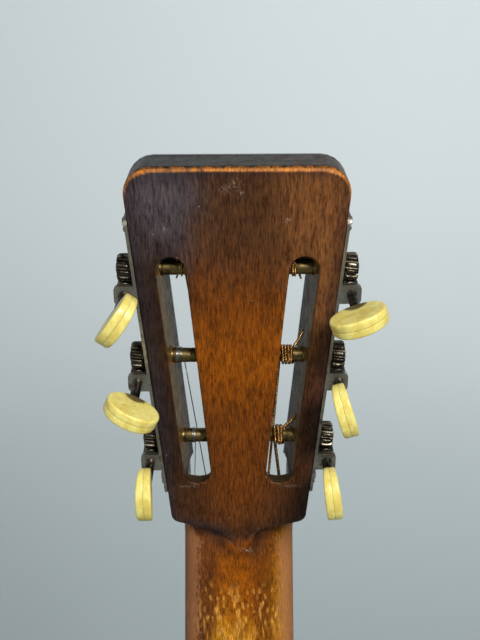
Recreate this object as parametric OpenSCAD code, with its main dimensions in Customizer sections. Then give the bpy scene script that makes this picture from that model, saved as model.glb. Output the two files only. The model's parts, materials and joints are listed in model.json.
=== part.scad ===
// Slot-head steel-string guitar with a small parlour body.
// Millimetres. +Z runs up the neck, the soundboard faces -Y, the bass side is -X.
// The origin is on the tail, where the end pin's flange sits.

/* [Body] */
// Length of the body from tail to shoulder
body_length = 465; // [455:1:475]
// Width across the lower bout
lower_bout = 330; // [322:1:338]
// Width across the waist
waist = 195; // [188:1:202]
// Width across the upper bout
upper_bout = 235; // [228:1:242]
// Depth at the tail
tail_depth = 96; // [90:1:102]
// Depth where the neck joins
shoulder_depth = 84; // [80:1:88]
// Thickness of the soundboard and of the back
plate_t = 2.6; // [2.2:0.1:3]
// Thickness of the bent sides
side_t = 2.2; // [1.8:0.1:2.6]
// Diameter of the sound hole
hole_d = 88; // [80:1:92]

/* [Neck] */
// Vibrating length of the strings
scale_length = 622; // [618:1:626]
// Width at the nut
nut_w = 45; // [43:0.5:47]
// Width where the neck meets the body
heel_w = 56; // [54:0.5:58]
// Depth of the neck's wood behind the nut
neck_t = 13.3; // [12.5:0.1:14]
// Thickness of the fretboard
board_t = 5.5; // [5:0.1:6]
// Number of frets
fret_count = 18; // [16:1:18]

/* [Head] */
// Angle that the head leans back
head_pitch = 13; // [11:0.5:15]
// Thickness of the head's wood
head_t = 16; // [15:0.5:17]
// Half width of the head at the middle posts
head_half = 32.7; // [31:0.1:34]
// Angle of each side of the head
head_flare = 5; // [4:0.1:6]
// Height of the head's top edge above the middle posts
head_top = 73.4; // [68:0.1:78]
// Width of a slot at the back of the head
slot_w = 10.5; // [9.5:0.1:11]
// Distance from the middle post to the neighbouring posts
post_gap = 35; // [34:0.5:36]

/* [Tuners] */
// Diameter of a string post
post_d = 5.4; // [5:0.1:5.8]
// Teeth on a wheel
wheel_teeth = 12; // [12:1:12]
// Distance from a post's axis to its worm's axis
centre_distance = 7.6; // [7.6:0.1:7.8]
// Length of a button across its stem
button_long = 19.5; // [17:0.5:21]
// Length of a button along its stem
button_deep = 16.4; // [14:0.2:18]

/* [Hidden] */
STRINGS = ["low_e", "a", "d", "g", "b", "high_e"];

$fn = 48;
far = 400;
eps = 0.01;

// Body: the faces of the soundboard and the back
top_y = -tail_depth / 2;
top_in = top_y + plate_t;
back_tilt = atan((tail_depth - shoulder_depth) / body_length);
heel_back_y = top_y + shoulder_depth;

// Body outline: five arcs on each side, each tangent to the next
lower_r = 118;
lower_z = 125;
waist_z = 280;
upper_r = 85;
lower_x = lower_bout / 2 - lower_r;
tail_r = (pow(lower_x, 2) + pow(lower_z, 2) - pow(lower_r, 2)) / (2 * (lower_z - lower_r));
waist_in = waist / 2 - lower_x;
waist_r = (pow(waist_in, 2) + pow(waist_z - lower_z, 2) - pow(lower_r, 2)) / (2 * (lower_r - waist_in));
waist_x = waist / 2 + waist_r;
upper_x = upper_bout / 2 - upper_r;
upper_z = waist_z + sqrt(pow(waist_r + upper_r, 2) - pow(waist_x - upper_x, 2));
upper_drop = upper_z - body_length;
shoulder_r = (pow(upper_r, 2) - pow(upper_x, 2) - pow(upper_drop, 2)) / (2 * (upper_drop + upper_r));
shoulder_z = body_length - shoulder_r;
tail_turn = atan2(lower_z - tail_r, lower_x);
lower_turn = atan2(waist_z - lower_z, waist_x - lower_x);
waist_turn = atan2(upper_z - waist_z, upper_x - waist_x);
upper_turn = atan2(upper_z - shoulder_z, upper_x);

// Body joinery
binding_h = 5.5;
lining_w = 6;
lining_h = 14;
block_w = 70;
neck_block_z = 45;
tail_block_z = 18;
tenon_w = 20;
tenon_z = 24;
tenon_y = 22;
brace_w = 7;
brace_h = 14;
hole_z = 320;
rosette_in = hole_d / 2 + 4;
rosette_out = hole_d / 2 + 13;
rosette_t = 1.2;

// Strings, from the low E to the high E
string_d = [1.32, 1.07, 0.81, 0.61, 0.41, 0.30];
nut_spread = 7.6;
saddle_spread = 10.8;
function nut_x(i) = (i - 2.5) * nut_spread;
function bridge_x(i) = (i - 2.5) * saddle_spread;

// Neck, nut and fretboard
nut_z = body_length + scale_length / 2;
nut_t = 5;
nut_rise = 2.2;
board_y = top_y - board_t;
fret_rise = 1;
nut_rest = board_y - fret_rise - 0.5;
board_end = nut_z - scale_length * 0.656;
function board_w(z) = nut_w + (heel_w - nut_w) * (nut_z - z) / (nut_z - body_length);
function fret_z(n) = nut_z - scale_length * (1 - pow(2, -n / 12));

// Bridge
bridge_w = 150;
bridge_z = 147;
bridge_h = 8;
bridge_depth = 29;
saddle_z = nut_z - scale_length - 1;
saddle_slant = 2.5;
saddle_t = 2.8;
saddle_w = 70;
saddle_rest = nut_rest - 3.4;
saddle_sink = 4;
pin_z = 138.5;
pin_r = 2.5;
groove_r = 0.85;
groove_z = 1.75;
bridge_top = top_y - bridge_h;
function saddle_at(x) = saddle_z + x * tan(saddle_slant);

// Head frame: x across, y back from the middle of the wood, z up from the middle posts
nut_drop = 80;
veneer_t = 1.5;
head_origin = [0,
    top_y + nut_drop * sin(head_pitch) + head_t / 2 * cos(head_pitch),
    nut_z + nut_t + nut_drop * cos(head_pitch) - head_t / 2 * sin(head_pitch)];
shoulder_u = -70.5;
tongue_u = -91;
slot_x = 20.15;
slot_top = 41.7;
slot_end = -52.5;
slot_front_w = 7.5;
slot_lean = atan((slot_w - slot_front_w) / head_t);
function side_x(u) = head_half + u * tan(head_flare);
function slot_wall(u) = slot_x - slot_w / 2 + u * tan(head_flare);

// A point of the row frame in the head's frame, and back
function to_head(p) = let (q = p - head_origin, s = sin(head_pitch), c = cos(head_pitch))
    [q[0], q[1] * c - q[2] * s, q[1] * s + q[2] * c];
function from_head(p) = head_origin
    + [p[0],
       p[1] * cos(head_pitch) + p[2] * sin(head_pitch),
       p[2] * cos(head_pitch) - p[1] * sin(head_pitch)];

// Tuners: one value per string, in the order of STRINGS
post_u = [-post_gap, 0, post_gap, post_gap, 0, -post_gap];
wind_x = [14.9, 17.65, 19.9, 19.7, 21.6, 17.1];
wind_turns = [3, 4, 3, 2, 5, 4];
wind_gap = 0.25;
button_turn = [-82, -73, 20, 54, -27, 90];
button_near_t = 3.4;
button_far_t = 5.9;
strip_t = 1.1;
plate_half = 7.8;
plate_top = 56;
plate_bottom = -58;
screw_u = [51.5, -54.5];
worm_out = 5;
wheel_w = 4.8;
post_play = 0.08;
post_r = post_d / 2;
wheel_bore = 2;
wheel_screw_r = 1.1;
wheel_r = 5.15;
wheel_root = 3.75;
pitch = 2 * PI * 4.6 / wheel_teeth;
worm_core = 2.1;
worm_tip = 3.3;
lead_angle = atan(pitch / (2 * PI * 3));
shaft_r = 1.8;
shaft_play = 0.08;
lug_t = 2;
lug_half = 3.55;
lug_out = 8.4;
tang_r = 1.2;
button_n = 28;
stem_end = button_n - button_deep / 2;
function tuner_side(i) = i < 3 ? -1 : 1;
function worm_u(i) = post_u[i] - centre_distance;
function worm_x(i) = tuner_side(i) * (side_x(worm_u(i)) + worm_out);

// ---- Outlines ----

function unit(v) = v / norm(v);
function wrap(a) = a > 180 ? a - 360 : a < -180 ? a + 360 : a;

// Points along an arc, leaving out its first point when it carries on from another arc
function arc(x, z, r, from, to, count, first = 1) =
    [for (i = [first:count]) [x + r * cos(from + (to - from) * i / count),
                              z + r * sin(from + (to - from) * i / count)]];

// The treble half of the body, moved inward by inset
function half_body(inset) = concat(
    arc(0, tail_r, tail_r - inset, -90, tail_turn, 7, 0),
    arc(lower_x, lower_z, lower_r - inset, tail_turn, lower_turn, 22),
    arc(waist_x, waist_z, waist_r + inset, lower_turn + 180, waist_turn, 12),
    arc(upper_x, upper_z, upper_r - inset, waist_turn - 180, upper_turn, 16),
    arc(0, shoulder_z, shoulder_r - inset, upper_turn, 90, 7));

function body_outline(inset) = let (half = half_body(inset), last = len(half) - 1)
    concat(half, [for (i = [last - 1:-1:1]) [-half[i][0], half[i][1]]]);

// Round the corner b of the path a, b, c
function corner(a, b, c, r, count = 6) = let (
    u = unit(a - b),
    v = unit(c - b),
    half = acos(u * v) / 2,
    centre = b + unit(u + v) * r / sin(half),
    start = b + u * r / tan(half) - centre,
    end = b + v * r / tan(half) - centre,
    from = atan2(start[1], start[0]),
    sweep = wrap(atan2(end[1], end[0]) - from))
    [for (i = [0:count]) centre + r * [cos(from + sweep * i / count), sin(from + sweep * i / count)]];

// A closed outline from corners [x, y, radius]
function rounded(corners) = let (n = len(corners), at = [for (c = corners) [c[0], c[1]]])
    [for (i = [0:n - 1]) each (corners[i][2] == 0
        ? [at[i]]
        : corner(at[(i + n - 1) % n], at[i], at[(i + 1) % n], corners[i][2]))];

// The other half of a symmetric outline, in reverse
function both_sides(half) = concat(half,
    [for (i = [len(half) - 1:-1:0]) [-half[i][0], half[i][1], half[i][2]]]);

function head_corners() = [[side_x(head_top), head_top, 9.5]];
function back_corners() = concat(head_corners(),
    [[side_x(shoulder_u), shoulder_u, 4], [8, -76.8, 9], [2.8, tongue_u, 2.4]]);
function front_corners() = concat(head_corners(),
    [[side_x(shoulder_u + 6), shoulder_u + 6, 12], [nut_w / 2, -nut_drop, 0]]);

// The front of the head between its shoulders and the nut
function cheek_outline() = let (w = nut_w / 2, wide = side_x(shoulder_u) - 1.5, low = -nut_drop - 7)
    [[wide, shoulder_u + 4], [w, -nut_drop], [w, low], [-w, low], [-w, -nut_drop], [-wide, shoulder_u + 4]];

// ---- Shared shapes ----

// A prism of the body's outline between two depths
module body_prism(inset, y0, y1) {
    translate([0, y1, 0]) rotate([90, 0, 0]) linear_extrude(y1 - y0) polygon(body_outline(inset));
}

// A slab that follows the tilted back, from one depth below its face to another
module back_layer(from, to) {
    translate([0, top_y + tail_depth, 0]) rotate([back_tilt, 0, 0])
        translate([-far / 2, -to, -50]) cube([far, to - from, body_length + 100]);
}

// The space between the soundboard's inner face and the back's, inside an outline
module inside_body(inset) {
    intersection() {
        body_prism(inset, top_in, far / 4);
        back_layer(plate_t, far / 2);
    }
}

module in_head() {
    translate(head_origin) rotate([-head_pitch, 0, 0]) children();
}

// A flat shape of the head, drawn as x and z, between two depths behind the wood's middle
module head_layer(from, to) {
    translate([0, to, 0]) rotate([90, 0, 0]) linear_extrude(to - from) children();
}

// A cylinder along x in the head frame
module cross_cylinder(x0, x1, u, r) {
    translate([min(x0, x1), 0, u]) rotate([0, 90, 0]) cylinder(h = abs(x1 - x0), r = r);
}

// The frame of one tuner plate: x outward from the head's side, z up along it
module on_side(side) {
    mirror([side < 0 ? 1 : 0, 0, 0]) translate([head_half, 0, 0]) rotate([0, head_flare, 0]) children();
}

// ---- Soundbox ----

module pin_holes() {
    for (i = [0:5])
        translate([bridge_x(i), far / 2, pin_z]) rotate([90, 0, 0]) cylinder(h = far, r = pin_r + 0.05);
}

module soundboard() {
    color("burlywood") difference() {
        body_prism(side_t, top_y, top_in);
        translate([0, top_in + 1, hole_z]) rotate([90, 0, 0]) cylinder(h = plate_t + 2, d = hole_d, $fn = 96);
        rosette_ring(eps);
        pin_holes();
    }
}

module rosette_ring(proud) {
    translate([0, top_y + rosette_t, hole_z]) rotate([90, 0, 0]) difference() {
        cylinder(h = rosette_t + proud, r = rosette_out, $fn = 96);
        translate([0, 0, -1]) cylinder(h = rosette_t + 3, r = rosette_in, $fn = 96);
    }
}

module rosette() {
    color("saddlebrown") rosette_ring(0);
}

module back_plate() {
    color("sienna") intersection() {
        body_prism(side_t, 0, far / 4);
        back_layer(0, plate_t);
    }
}

module tenon(grow) {
    translate([-tenon_w / 2 - grow, top_in - grow, body_length - tenon_z - grow])
        cube([tenon_w + 2 * grow, tenon_y - top_in + 2 * grow, tenon_z + 5]);
}

module bent_side(side) {
    difference() {
        intersection() {
            body_prism(0, top_y + binding_h, far / 4);
            back_layer(binding_h, far / 2);
            translate([side < 0 ? -far : 0, -far / 2, -far / 2]) cube([far, far, far * 3]);
        }
        body_prism(side_t, top_y, far / 3);
        tenon(0);
        cylinder(h = far / 4, r = 4.3, center = true);
    }
}

module bass_side() {
    color("sienna") bent_side(-1);
}

module treble_side() {
    color("sienna") bent_side(1);
}

module block_space(low, high, width) {
    translate([-width / 2, -far / 4, low]) cube([width, far / 2, high - low]);
}

module linings() {
    color("tan") difference() {
        inside_body(side_t);
        body_prism(side_t + lining_w, -far / 4, far / 2);
        intersection() {
            translate([-far, top_in + lining_h, -far]) cube([far * 2, far, far * 3]);
            back_layer(plate_t + lining_h, far);
        }
        block_space(-5, 60, block_w);
        block_space(body_length - 60, body_length + 5, block_w);
    }
}

module soundboard_brace(z) {
    intersection() {
        inside_body(side_t + lining_w + 0.2);
        translate([-far / 2, top_in, z - brace_w / 2]) cube([far, brace_h, brace_w]);
    }
}

module soundboard_braces() {
    color("wheat") for (z = [88, 205, 262, 384]) soundboard_brace(z);
}

module back_braces() {
    color("wheat") for (z = [95, 195, 290, 385]) intersection() {
        inside_body(side_t + lining_w + 0.2);
        back_layer(plate_t, plate_t + brace_h);
        translate([-far / 2, -far / 2, z - brace_w / 2]) cube([far, far, brace_w]);
    }
}

module bridge_plate() {
    color("rosybrown") difference() {
        translate([-80, top_in, pin_z - 18]) cube([160, 2.5, 46]);
        pin_holes();
    }
}

module centre_strip() {
    color("tan") difference() {
        intersection() {
            back_layer(plate_t, plate_t + 2);
            translate([-9, 0, tail_block_z + side_t + 1])
                cube([18, far, body_length - neck_block_z - tail_block_z - 4]);
        }
        for (z = [95, 195, 290, 385]) translate([-10, 0, z - brace_w / 2]) cube([20, far, brace_w]);
    }
}

module neck_block() {
    color("peru") difference() {
        intersection() {
            inside_body(side_t);
            block_space(body_length - neck_block_z, body_length, block_w);
        }
        tenon(0);
    }
}

module tail_block() {
    color("peru") difference() {
        intersection() {
            inside_body(side_t);
            block_space(0, tail_block_z + side_t, block_w);
        }
        cylinder(h = far / 4, r = 4.3, center = true);
    }
}

module bindings() {
    color("ivory") difference() {
        intersection() {
            body_prism(0, top_y, far / 4);
            back_layer(0, far / 2);
        }
        body_prism(side_t, -far / 4, far / 2);
        intersection() {
            translate([-far, top_y + binding_h, -far]) cube([far * 2, far, far * 3]);
            back_layer(binding_h, far);
        }
        tenon(0);
    }
}

module bridge() {
    color("saddlebrown") difference() {
        union() {
            translate([-bridge_w / 2, top_y - 3, bridge_z - bridge_depth / 2])
                cube([bridge_w, 3, bridge_depth]);
            translate([-45, bridge_top, bridge_z - bridge_depth / 2]) cube([90, bridge_h, bridge_depth]);
        }
        saddle_block();
        pin_holes();
    }
}

module saddle_block() {
    translate([0, 0, saddle_z]) rotate([0, -saddle_slant, 0])
        translate([-saddle_w / 2, saddle_rest, -saddle_t / 2])
            cube([saddle_w, bridge_top + saddle_sink - saddle_rest, saddle_t]);
}

module saddle() {
    color("ivory") saddle_block();
}

module bridge_pins() {
    color("black") for (i = [0:5]) translate([bridge_x(i), 0, pin_z]) difference() {
        union() {
            translate([0, top_in + 6, 0]) rotate([90, 0, 0]) cylinder(h = bridge_h + plate_t + 6, r = pin_r);
            translate([0, bridge_top, 0]) rotate([90, 0, 0]) cylinder(h = 2, r = 3.6);
            translate([0, bridge_top - 1.6, 0]) sphere(r = 2.4);
        }
        translate([0, far / 4, groove_z]) rotate([90, 0, 0]) cylinder(h = far, r = groove_r);
        translate([-groove_r, -far / 4, groove_z]) cube([groove_r * 2, far, 3]);
    }
}

module end_pin() {
    color("black") rotate([180, 0, 0]) {
        translate([0, 0, -15]) cylinder(h = 16, r = 4.25);
        cylinder(h = 2.5, r = 5.5);
        cylinder(h = 9, r = 3.6);
        translate([0, 0, 8.5]) cylinder(h = 5, r = 5.5);
    }
}

// ---- Neck and head ----

function d_section(w, depth) = [for (a = [0:10:180]) [w / 2 * cos(a), depth * sin(a)]];

module neck_slice(z, w, depth, h = 1) {
    translate([0, top_y, z]) linear_extrude(h) polygon(d_section(w, depth));
}

heel_depth = heel_back_y - 2.5 - top_y;

module neck_heel() {
    difference() {
        union() {
            hull() {
                translate([0, top_y, body_length - 6]) linear_extrude(8) polygon([[-heel_w / 2, 0],
                    [-25, 20], [-13, heel_depth], [13, heel_depth], [25, 20], [heel_w / 2, 0]]);
                translate([0, top_y, body_length + 12]) linear_extrude(2) polygon([[-heel_w / 2, 0],
                    [-22, 16], [-7, heel_depth], [7, heel_depth], [22, 16], [heel_w / 2, 0]]);
            }
            hull() {
                neck_slice(body_length + 12, heel_w, 44, 2);
                neck_slice(body_length + 52, board_w(body_length + 52), 17);
            }
        }
        body_prism(0, -far / 4, far / 2);
    }
}

module neck_shaft() {
    difference() {
        hull() {
            neck_slice(body_length - 6, heel_w, 17);
            neck_slice(nut_z + nut_t - 1, nut_w, neck_t);
        }
        body_prism(0, -far / 4, far / 2);
    }
}

// One slot through the head: its outer wall leans in toward the front
module slot_cut(side) {
    mid = (slot_top + slot_end) / 2;
    run = (slot_top - slot_end) / 2 - slot_front_w / 2;
    mirror([side < 0 ? 1 : 0, 0, 0])
        translate([slot_x - (slot_w - slot_front_w) / 2, 0, 0]) rotate([0, head_flare, 0])
            for (lean = [0, slot_lean])
                translate([0, -head_t / 2, 0]) rotate([0, 0, -lean]) head_layer(-4, head_t + 6) {
                    translate([-slot_front_w / 2, mid - run]) square([slot_front_w, run * 2]);
                    for (end = [-run, run]) translate([0, mid + end]) circle(d = slot_front_w);
                }
}

// The front of the slot runs out toward the nut, and its inner wall gives way to the inner string
module slot_relief(side) {
    front = -head_t / 2 - veneer_t - 1;
    mirror([side < 0 ? 1 : 0, 0, 0]) {
        head_layer(front, -3.6) polygon([[slot_wall(33) + 1, 33], [slot_wall(33) - eps, 33], [14.8, 12],
                                         [8, -34], [8, -40], [slot_wall(-50) + 4, -50]]);
        translate([slot_wall(-50) - 3, 0, 0]) rotate([0, 90, 0]) linear_extrude(12)
            polygon([[49, 2.4], [52.3, 2.4], [67, -head_t / 2], [71, front], [49, front]]);
    }
}

module post_bores() {
    for (i = [0:5]) {
        side = tuner_side(i);
        cross_cylinder(side * (slot_wall(post_u[i]) - 7), side * 60, post_u[i], post_r + post_play);
    }
}

module screw_holes() {
    for (side = [-1, 1], u = screw_u) on_side(side)
        translate([-9, 0, u]) rotate([0, 90, 0]) cylinder(h = 12, r = 1.2);
}

module neck() {
    color("saddlebrown") {
        difference() {
            union() {
                neck_shaft();
                neck_heel();
                in_head() head_layer(-head_t / 2, head_t / 2) polygon(rounded(both_sides(back_corners())));
                in_head() head_layer(-head_t / 2, 3 - head_t / 2) polygon(cheek_outline());
            }
            translate([-far / 2, top_y - 20, body_length]) cube([far, 20, nut_z + nut_t + 10 - body_length]);
            in_head() {
                for (side = [-1, 1]) {
                    slot_cut(side);
                    slot_relief(side);
                }
                post_bores();
                screw_holes();
            }
        }
        tenon(0);
    }
}

module heel_cap() {
    color("ivory") difference() {
        translate([0, heel_back_y, 0]) rotate([90, 0, 0]) linear_extrude(2.5)
            polygon([[-13, body_length - 4], [13, body_length - 4], [13, body_length + 2],
                     [7, body_length + 14], [-7, body_length + 14], [-13, body_length + 2]]);
        body_prism(0, -far / 4, far / 2);
    }
}

module head_veneer() {
    color("black") in_head() difference() {
        head_layer(-head_t / 2 - veneer_t, -head_t / 2) polygon(rounded(both_sides(front_corners())));
        for (side = [-1, 1]) {
            slot_cut(side);
            slot_relief(side);
        }
    }
}

module nut() {
    color("ivory") difference() {
        translate([-nut_w / 2, board_y - nut_rise, nut_z]) cube([nut_w, board_t + nut_rise, nut_t]);
        for (i = [0:5]) {
            groove = string_d[i] + 0.1;
            translate([nut_x(i), nut_rest - groove / 2 + 0.05, nut_z - 1]) {
                cylinder(h = nut_t + 2, d = groove);
                translate([-groove / 2, -5.05, 0]) cube([groove, 5.05, nut_t + 2]);
            }
        }
    }
}

// ---- Fretboard ----

module board_shape(low, high, y0, y1) {
    wide = board_w(low) / 2;
    narrow = board_w(high) / 2;
    translate([0, y1, 0]) rotate([90, 0, 0]) linear_extrude(y1 - y0)
        polygon([[-wide, low], [wide, low], [narrow, high], [-narrow, high]]);
}

module dots(grow) {
    for (mark = [[5, 0], [7, 0], [10, 0], [12, -11], [12, 11], [15, 0]])
        translate([mark[1], board_y + 1.5, (fret_z(mark[0]) + fret_z(mark[0] - 1)) / 2])
            rotate([90, 0, 0]) cylinder(h = 1.5 + grow, r = 3);
}

module fretboard() {
    color("dimgray") difference() {
        board_shape(board_end, nut_z, board_y, top_y);
        for (n = [1:fret_count]) translate([-far / 2, board_y - 1, fret_z(n) - 0.3]) cube([far, 2.6, 0.6]);
        dots(1);
    }
}

module frets() {
    color("silver") for (n = [1:fret_count]) {
        w = board_w(fret_z(n));
        translate([-w / 2, board_y, fret_z(n)]) rotate([90, 0, 90]) linear_extrude(w) intersection() {
            translate([0.7, 0]) circle(r = 1.7);
            translate([-fret_rise, -1.1]) square([fret_rise, 2.2]);
        }
        translate([-w / 2, board_y, fret_z(n) - 0.25]) cube([w, 1.5, 0.5]);
    }
}

module position_dots() {
    color("white") dots(0);
}

// ---- Tuners ----

module tuner_plate(side) {
    difference() {
        union() {
            on_side(side) rotate([90, 0, 90]) linear_extrude(strip_t)
                polygon(rounded([for (c = [[1, 1], [-1, 1], [-1, -1], [1, -1]])
                    [c[0] * plate_half, c[1] > 0 ? plate_top : plate_bottom, 3]]));
            for (i = side < 0 ? [0:2] : [3:5]) tuner_lugs(i);
        }
        post_bores();
        screw_holes();
    }
}

// The two lugs that hold one worm
module tuner_lugs(i) {
    u = worm_u(i);
    mirror([tuner_side(i) < 0 ? 1 : 0, 0, 0]) for (n = [-plate_half, plate_half - lug_t]) difference() {
        head_layer(n, n + lug_t) polygon(rounded([
            [side_x(u) + 0.5, u - lug_half, 0], [side_x(u) + lug_out, u - lug_half, 1.6],
            [side_x(u) + lug_out, u + lug_half, 1.6], [side_x(u) + 0.5, u + lug_half, 0]]));
        translate([side_x(u) + worm_out, 0, u]) rotate([90, 0, 0])
            cylinder(h = 40, r = shaft_r + shaft_play, center = true);
    }
}

module bass_tuner_plate() {
    color("silver") in_head() tuner_plate(-1);
}

module treble_tuner_plate() {
    color("silver") in_head() tuner_plate(1);
}

module plate_screws() {
    color("silver") in_head() for (side = [-1, 1], u = screw_u)
        on_side(side) translate([0, 0, u]) difference() {
            union() {
                translate([-8.5, 0, 0]) rotate([0, 90, 0]) cylinder(h = 8.5 + strip_t, r = 1.15);
                translate([strip_t, 0, 0]) rotate([0, 90, 0]) cylinder(h = 1.4, r = 2.6);
            }
            translate([strip_t + 0.8, -3, -0.35]) cube([2, 6, 0.7]);
        }
}

// A string post with its string hole, and the turns of its string
module post(i) {
    side = tuner_side(i);
    wheel_in = abs(worm_x(i)) - wheel_w / 2;
    wire = string_d[i];
    color("goldenrod") in_head() {
        difference() {
            union() {
                cross_cylinder(side * (slot_wall(post_u[i]) - 6.5), side * wheel_in, post_u[i], post_r);
                cross_cylinder(side * wheel_in, side * (wheel_in + wheel_w), post_u[i], wheel_bore);
            }
            cross_cylinder(side * (wheel_in - 3), side * (wheel_in + wheel_w + 1), post_u[i], wheel_screw_r);
            translate([side * (wind_x[i] + wind_turns[i] * wire / 2 + 1), 0, post_u[i]])
                cylinder(h = 10, r = 0.8, center = true);
        }
        for (turn = [0:wind_turns[i] - 1])
            translate([side * (wind_x[i] + (turn - (wind_turns[i] - 1) / 2) * wire * 1.03), 0, post_u[i]])
                rotate([0, 90, 0]) rotate_extrude()
                    translate([post_r + wire / 2 + 0.03, 0]) circle(d = wire, $fn = 16);
    }
}

function tooth(k) = let (a = 360 * k / wheel_teeth) [
    for (p = [[wheel_root, -10], [wheel_r, -4], [wheel_r, 4], [wheel_root, 10]])
        [p[0] * cos(a + p[1]), p[0] * sin(a + p[1])]];

module wheel(i) {
    twist = wheel_w * tan(lead_angle) / 4.6 * 180 / PI;
    color("dimgray") in_head() translate([worm_x(i), 0, post_u[i]]) rotate([0, 90, 0]) difference() {
        intersection() {
            rotate([0, 0, -twist / 2]) linear_extrude(wheel_w, center = true, twist = -twist, slices = 3)
                polygon([for (k = [0:wheel_teeth - 1]) each tooth(k)]);
            rotate_extrude($fn = 64) polygon([[0, -wheel_w / 2], [wheel_r - 0.6, -wheel_w / 2],
                [wheel_r + 0.1, 0.6 - wheel_w / 2], [wheel_r + 0.1, wheel_w / 2 - 0.6],
                [wheel_r - 0.6, wheel_w / 2], [0, wheel_w / 2]]);
        }
        cylinder(h = wheel_w * 2, r = wheel_bore, center = true);
    }
}

module wheel_screw(i) {
    side = tuner_side(i);
    face = abs(worm_x(i)) + wheel_w / 2;
    color("silver") in_head() difference() {
        union() {
            cross_cylinder(side * (face - 4.5), side * face, post_u[i], wheel_screw_r);
            cross_cylinder(side * face, side * (face + 0.8), post_u[i], 2.7);
        }
        translate([side * (face + 0.9), 0, post_u[i]]) cube([1, 8, 0.7], center = true);
    }
}

// The worm's thread: a ring of four points at each step, fading out at both ends
thread_turns = 3.8;
thread_steps = 76;
function thread_ring(k) = let (
    turn = 360 * (thread_turns * k / thread_steps - 0.4),
    n = pitch * (turn / 360 - 1.5),
    rise = (worm_tip - worm_core) * min(1, k / 6, (thread_steps - k) / 6),
    foot = worm_core - 0.3,
    tip = worm_core + rise)
    [for (p = [[foot, -0.62], [tip, -0.3], [tip, 0.3], [foot, 0.62]])
        [p[0] * sin(turn), n + p[1], p[0] * cos(turn)]];

module thread() {
    points = [for (k = [0:thread_steps]) each thread_ring(k)];
    sides = [for (k = [0:thread_steps - 1], j = [0:3])
        [4 * k + j, 4 * k + (j + 1) % 4, 4 * k + 4 + (j + 1) % 4, 4 * k + 4 + j]];
    ends = [[3, 2, 1, 0], [for (j = [0:3]) 4 * thread_steps + j]];
    polyhedron(points, concat(sides, ends), convexity = 8);
}

module worm(i) {
    color("slategray") in_head() translate([worm_x(i), 0, worm_u(i)]) {
        thread();
        rotate([-90, 0, 0]) {
            translate([0, 0, lug_t - plate_half + 0.1])
                cylinder(h = 2 * (plate_half - lug_t - 0.1), r = worm_core);
            translate([0, 0, -plate_half - 0.8]) cylinder(h = plate_half + 0.8 + stem_end, r = shaft_r);
            cylinder(h = button_n + 2, r = tang_r);
        }
    }
}

function oval(long, deep, tilt = 0) = [for (a = [0:12:348]) [long / 2 * cos(a), deep / 2 * sin(a)]];

module oval_slice(long, deep, thick) {
    rotate([90, 0, 0]) linear_extrude(thick, center = true) polygon(oval(long, deep));
}

// An oval wedge, thicker at its far end, drawn across x and z with its stem along -z
module button_body() {
    grow = (button_far_t - button_near_t) / button_deep;
    near = button_near_t / 2 - grow / 2;
    far_end = button_far_t / 2 + grow / 2;
    reach = button_deep / 2 + 1;
    intersection() {
        oval_slice(button_long, button_deep, 12);
        rotate([90, 0, 90]) linear_extrude(button_long + 2, center = true)
            polygon([[-near, -reach], [near, -reach], [far_end, reach], [-far_end, reach]]);
    }
}

module button(i) {
    color("khaki") in_head() translate([worm_x(i), button_n, worm_u(i)])
        rotate([0, button_turn[i], 0]) rotate([-90, 0, 0]) difference() {
            button_body();
            translate([0, 0, -button_deep]) cylinder(h = button_deep + 2, r = tang_r);
        }
}

// ---- Strings ----

// Where a straight string leaves the turns on its post, in the head frame
function leave_post(i) = let (
    rest = to_head([nut_x(i), nut_rest - string_d[i] / 2, nut_z + nut_t]),
    v = [rest[1], rest[2] - post_u[i]],
    reach = norm(v),
    r = post_r + string_d[i] * 1.5 + wind_gap,
    a = atan2(v[1], v[0]) - acos(r / reach))
    [tuner_side(i) * (wind_x[i] - (wind_turns[i] - 1) * string_d[i] / 2), r * cos(a), post_u[i] + r * sin(a)];

// The path of one string, from its ball end under the bridge plate to its post
function string_path(i) = let (
    d = string_d[i],
    x = bridge_x(i),
    y = nut_rest - d / 2,
    edge = pin_z + groove_z)
    [[x, top_in + 8, edge],
     [x, bridge_top - d / 2, edge],
     [x, saddle_rest - d / 2 - 0.05, saddle_at(x)],
     [nut_x(i), y, nut_z],
     [nut_x(i), y, nut_z + nut_t],
     from_head(leave_post(i))];

// A ring of points round the path at point k, mitred between the stretches before and after it
function mitred_ring(path, k, r, count) = let (
    last = len(path) - 1,
    before = unit(path[max(k, 1)] - path[max(k, 1) - 1]),
    after = unit(path[min(k, last - 1) + 1] - path[min(k, last - 1)]),
    across = unit([1, 0, 0] - before * before[0]),
    up = cross(before, across),
    mitre = unit(before + after))
    [for (j = [0:count - 1])
        let (off = r * (cos(360 * j / count) * across + sin(360 * j / count) * up))
        path[k] + off - before * (off * mitre) / (before * mitre)];

module tube(path, r, count = 10) {
    last = len(path) - 1;
    points = [for (k = [0:last]) each mitred_ring(path, k, r, count)];
    sides = [for (k = [0:last - 1], j = [0:count - 1]) let (a = count * k, next = (j + 1) % count)
        [a + next, a + j, a + count + j, a + count + next]];
    ends = [[for (j = [0:count - 1]) j], [for (j = [count - 1:-1:0]) count * last + j]];
    polyhedron(points, concat(ends, sides), convexity = 4);
}

module string(i) {
    tube(string_path(i), string_d[i] / 2);
    translate([bridge_x(i), top_in + 9.2, pin_z + groove_z]) rotate([90, 0, 0]) cylinder(h = 3, r = 1.9);
}

module strings() {
    color("darkgoldenrod") for (i = [0:5]) string(i);
}

soundboard();
back_plate();
bass_side();
treble_side();
linings();
soundboard_braces();
back_braces();
bridge_plate();
centre_strip();
neck_block();
tail_block();
bindings();
rosette();
bridge();
saddle();
bridge_pins();
end_pin();
neck();
heel_cap();
head_veneer();
nut();
fretboard();
frets();
position_dots();
bass_tuner_plate();
treble_tuner_plate();
plate_screws();
strings();
for (i = [0:5]) {
    post(i);
    wheel(i);
    wheel_screw(i);
    worm(i);
    button(i);
}
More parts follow.
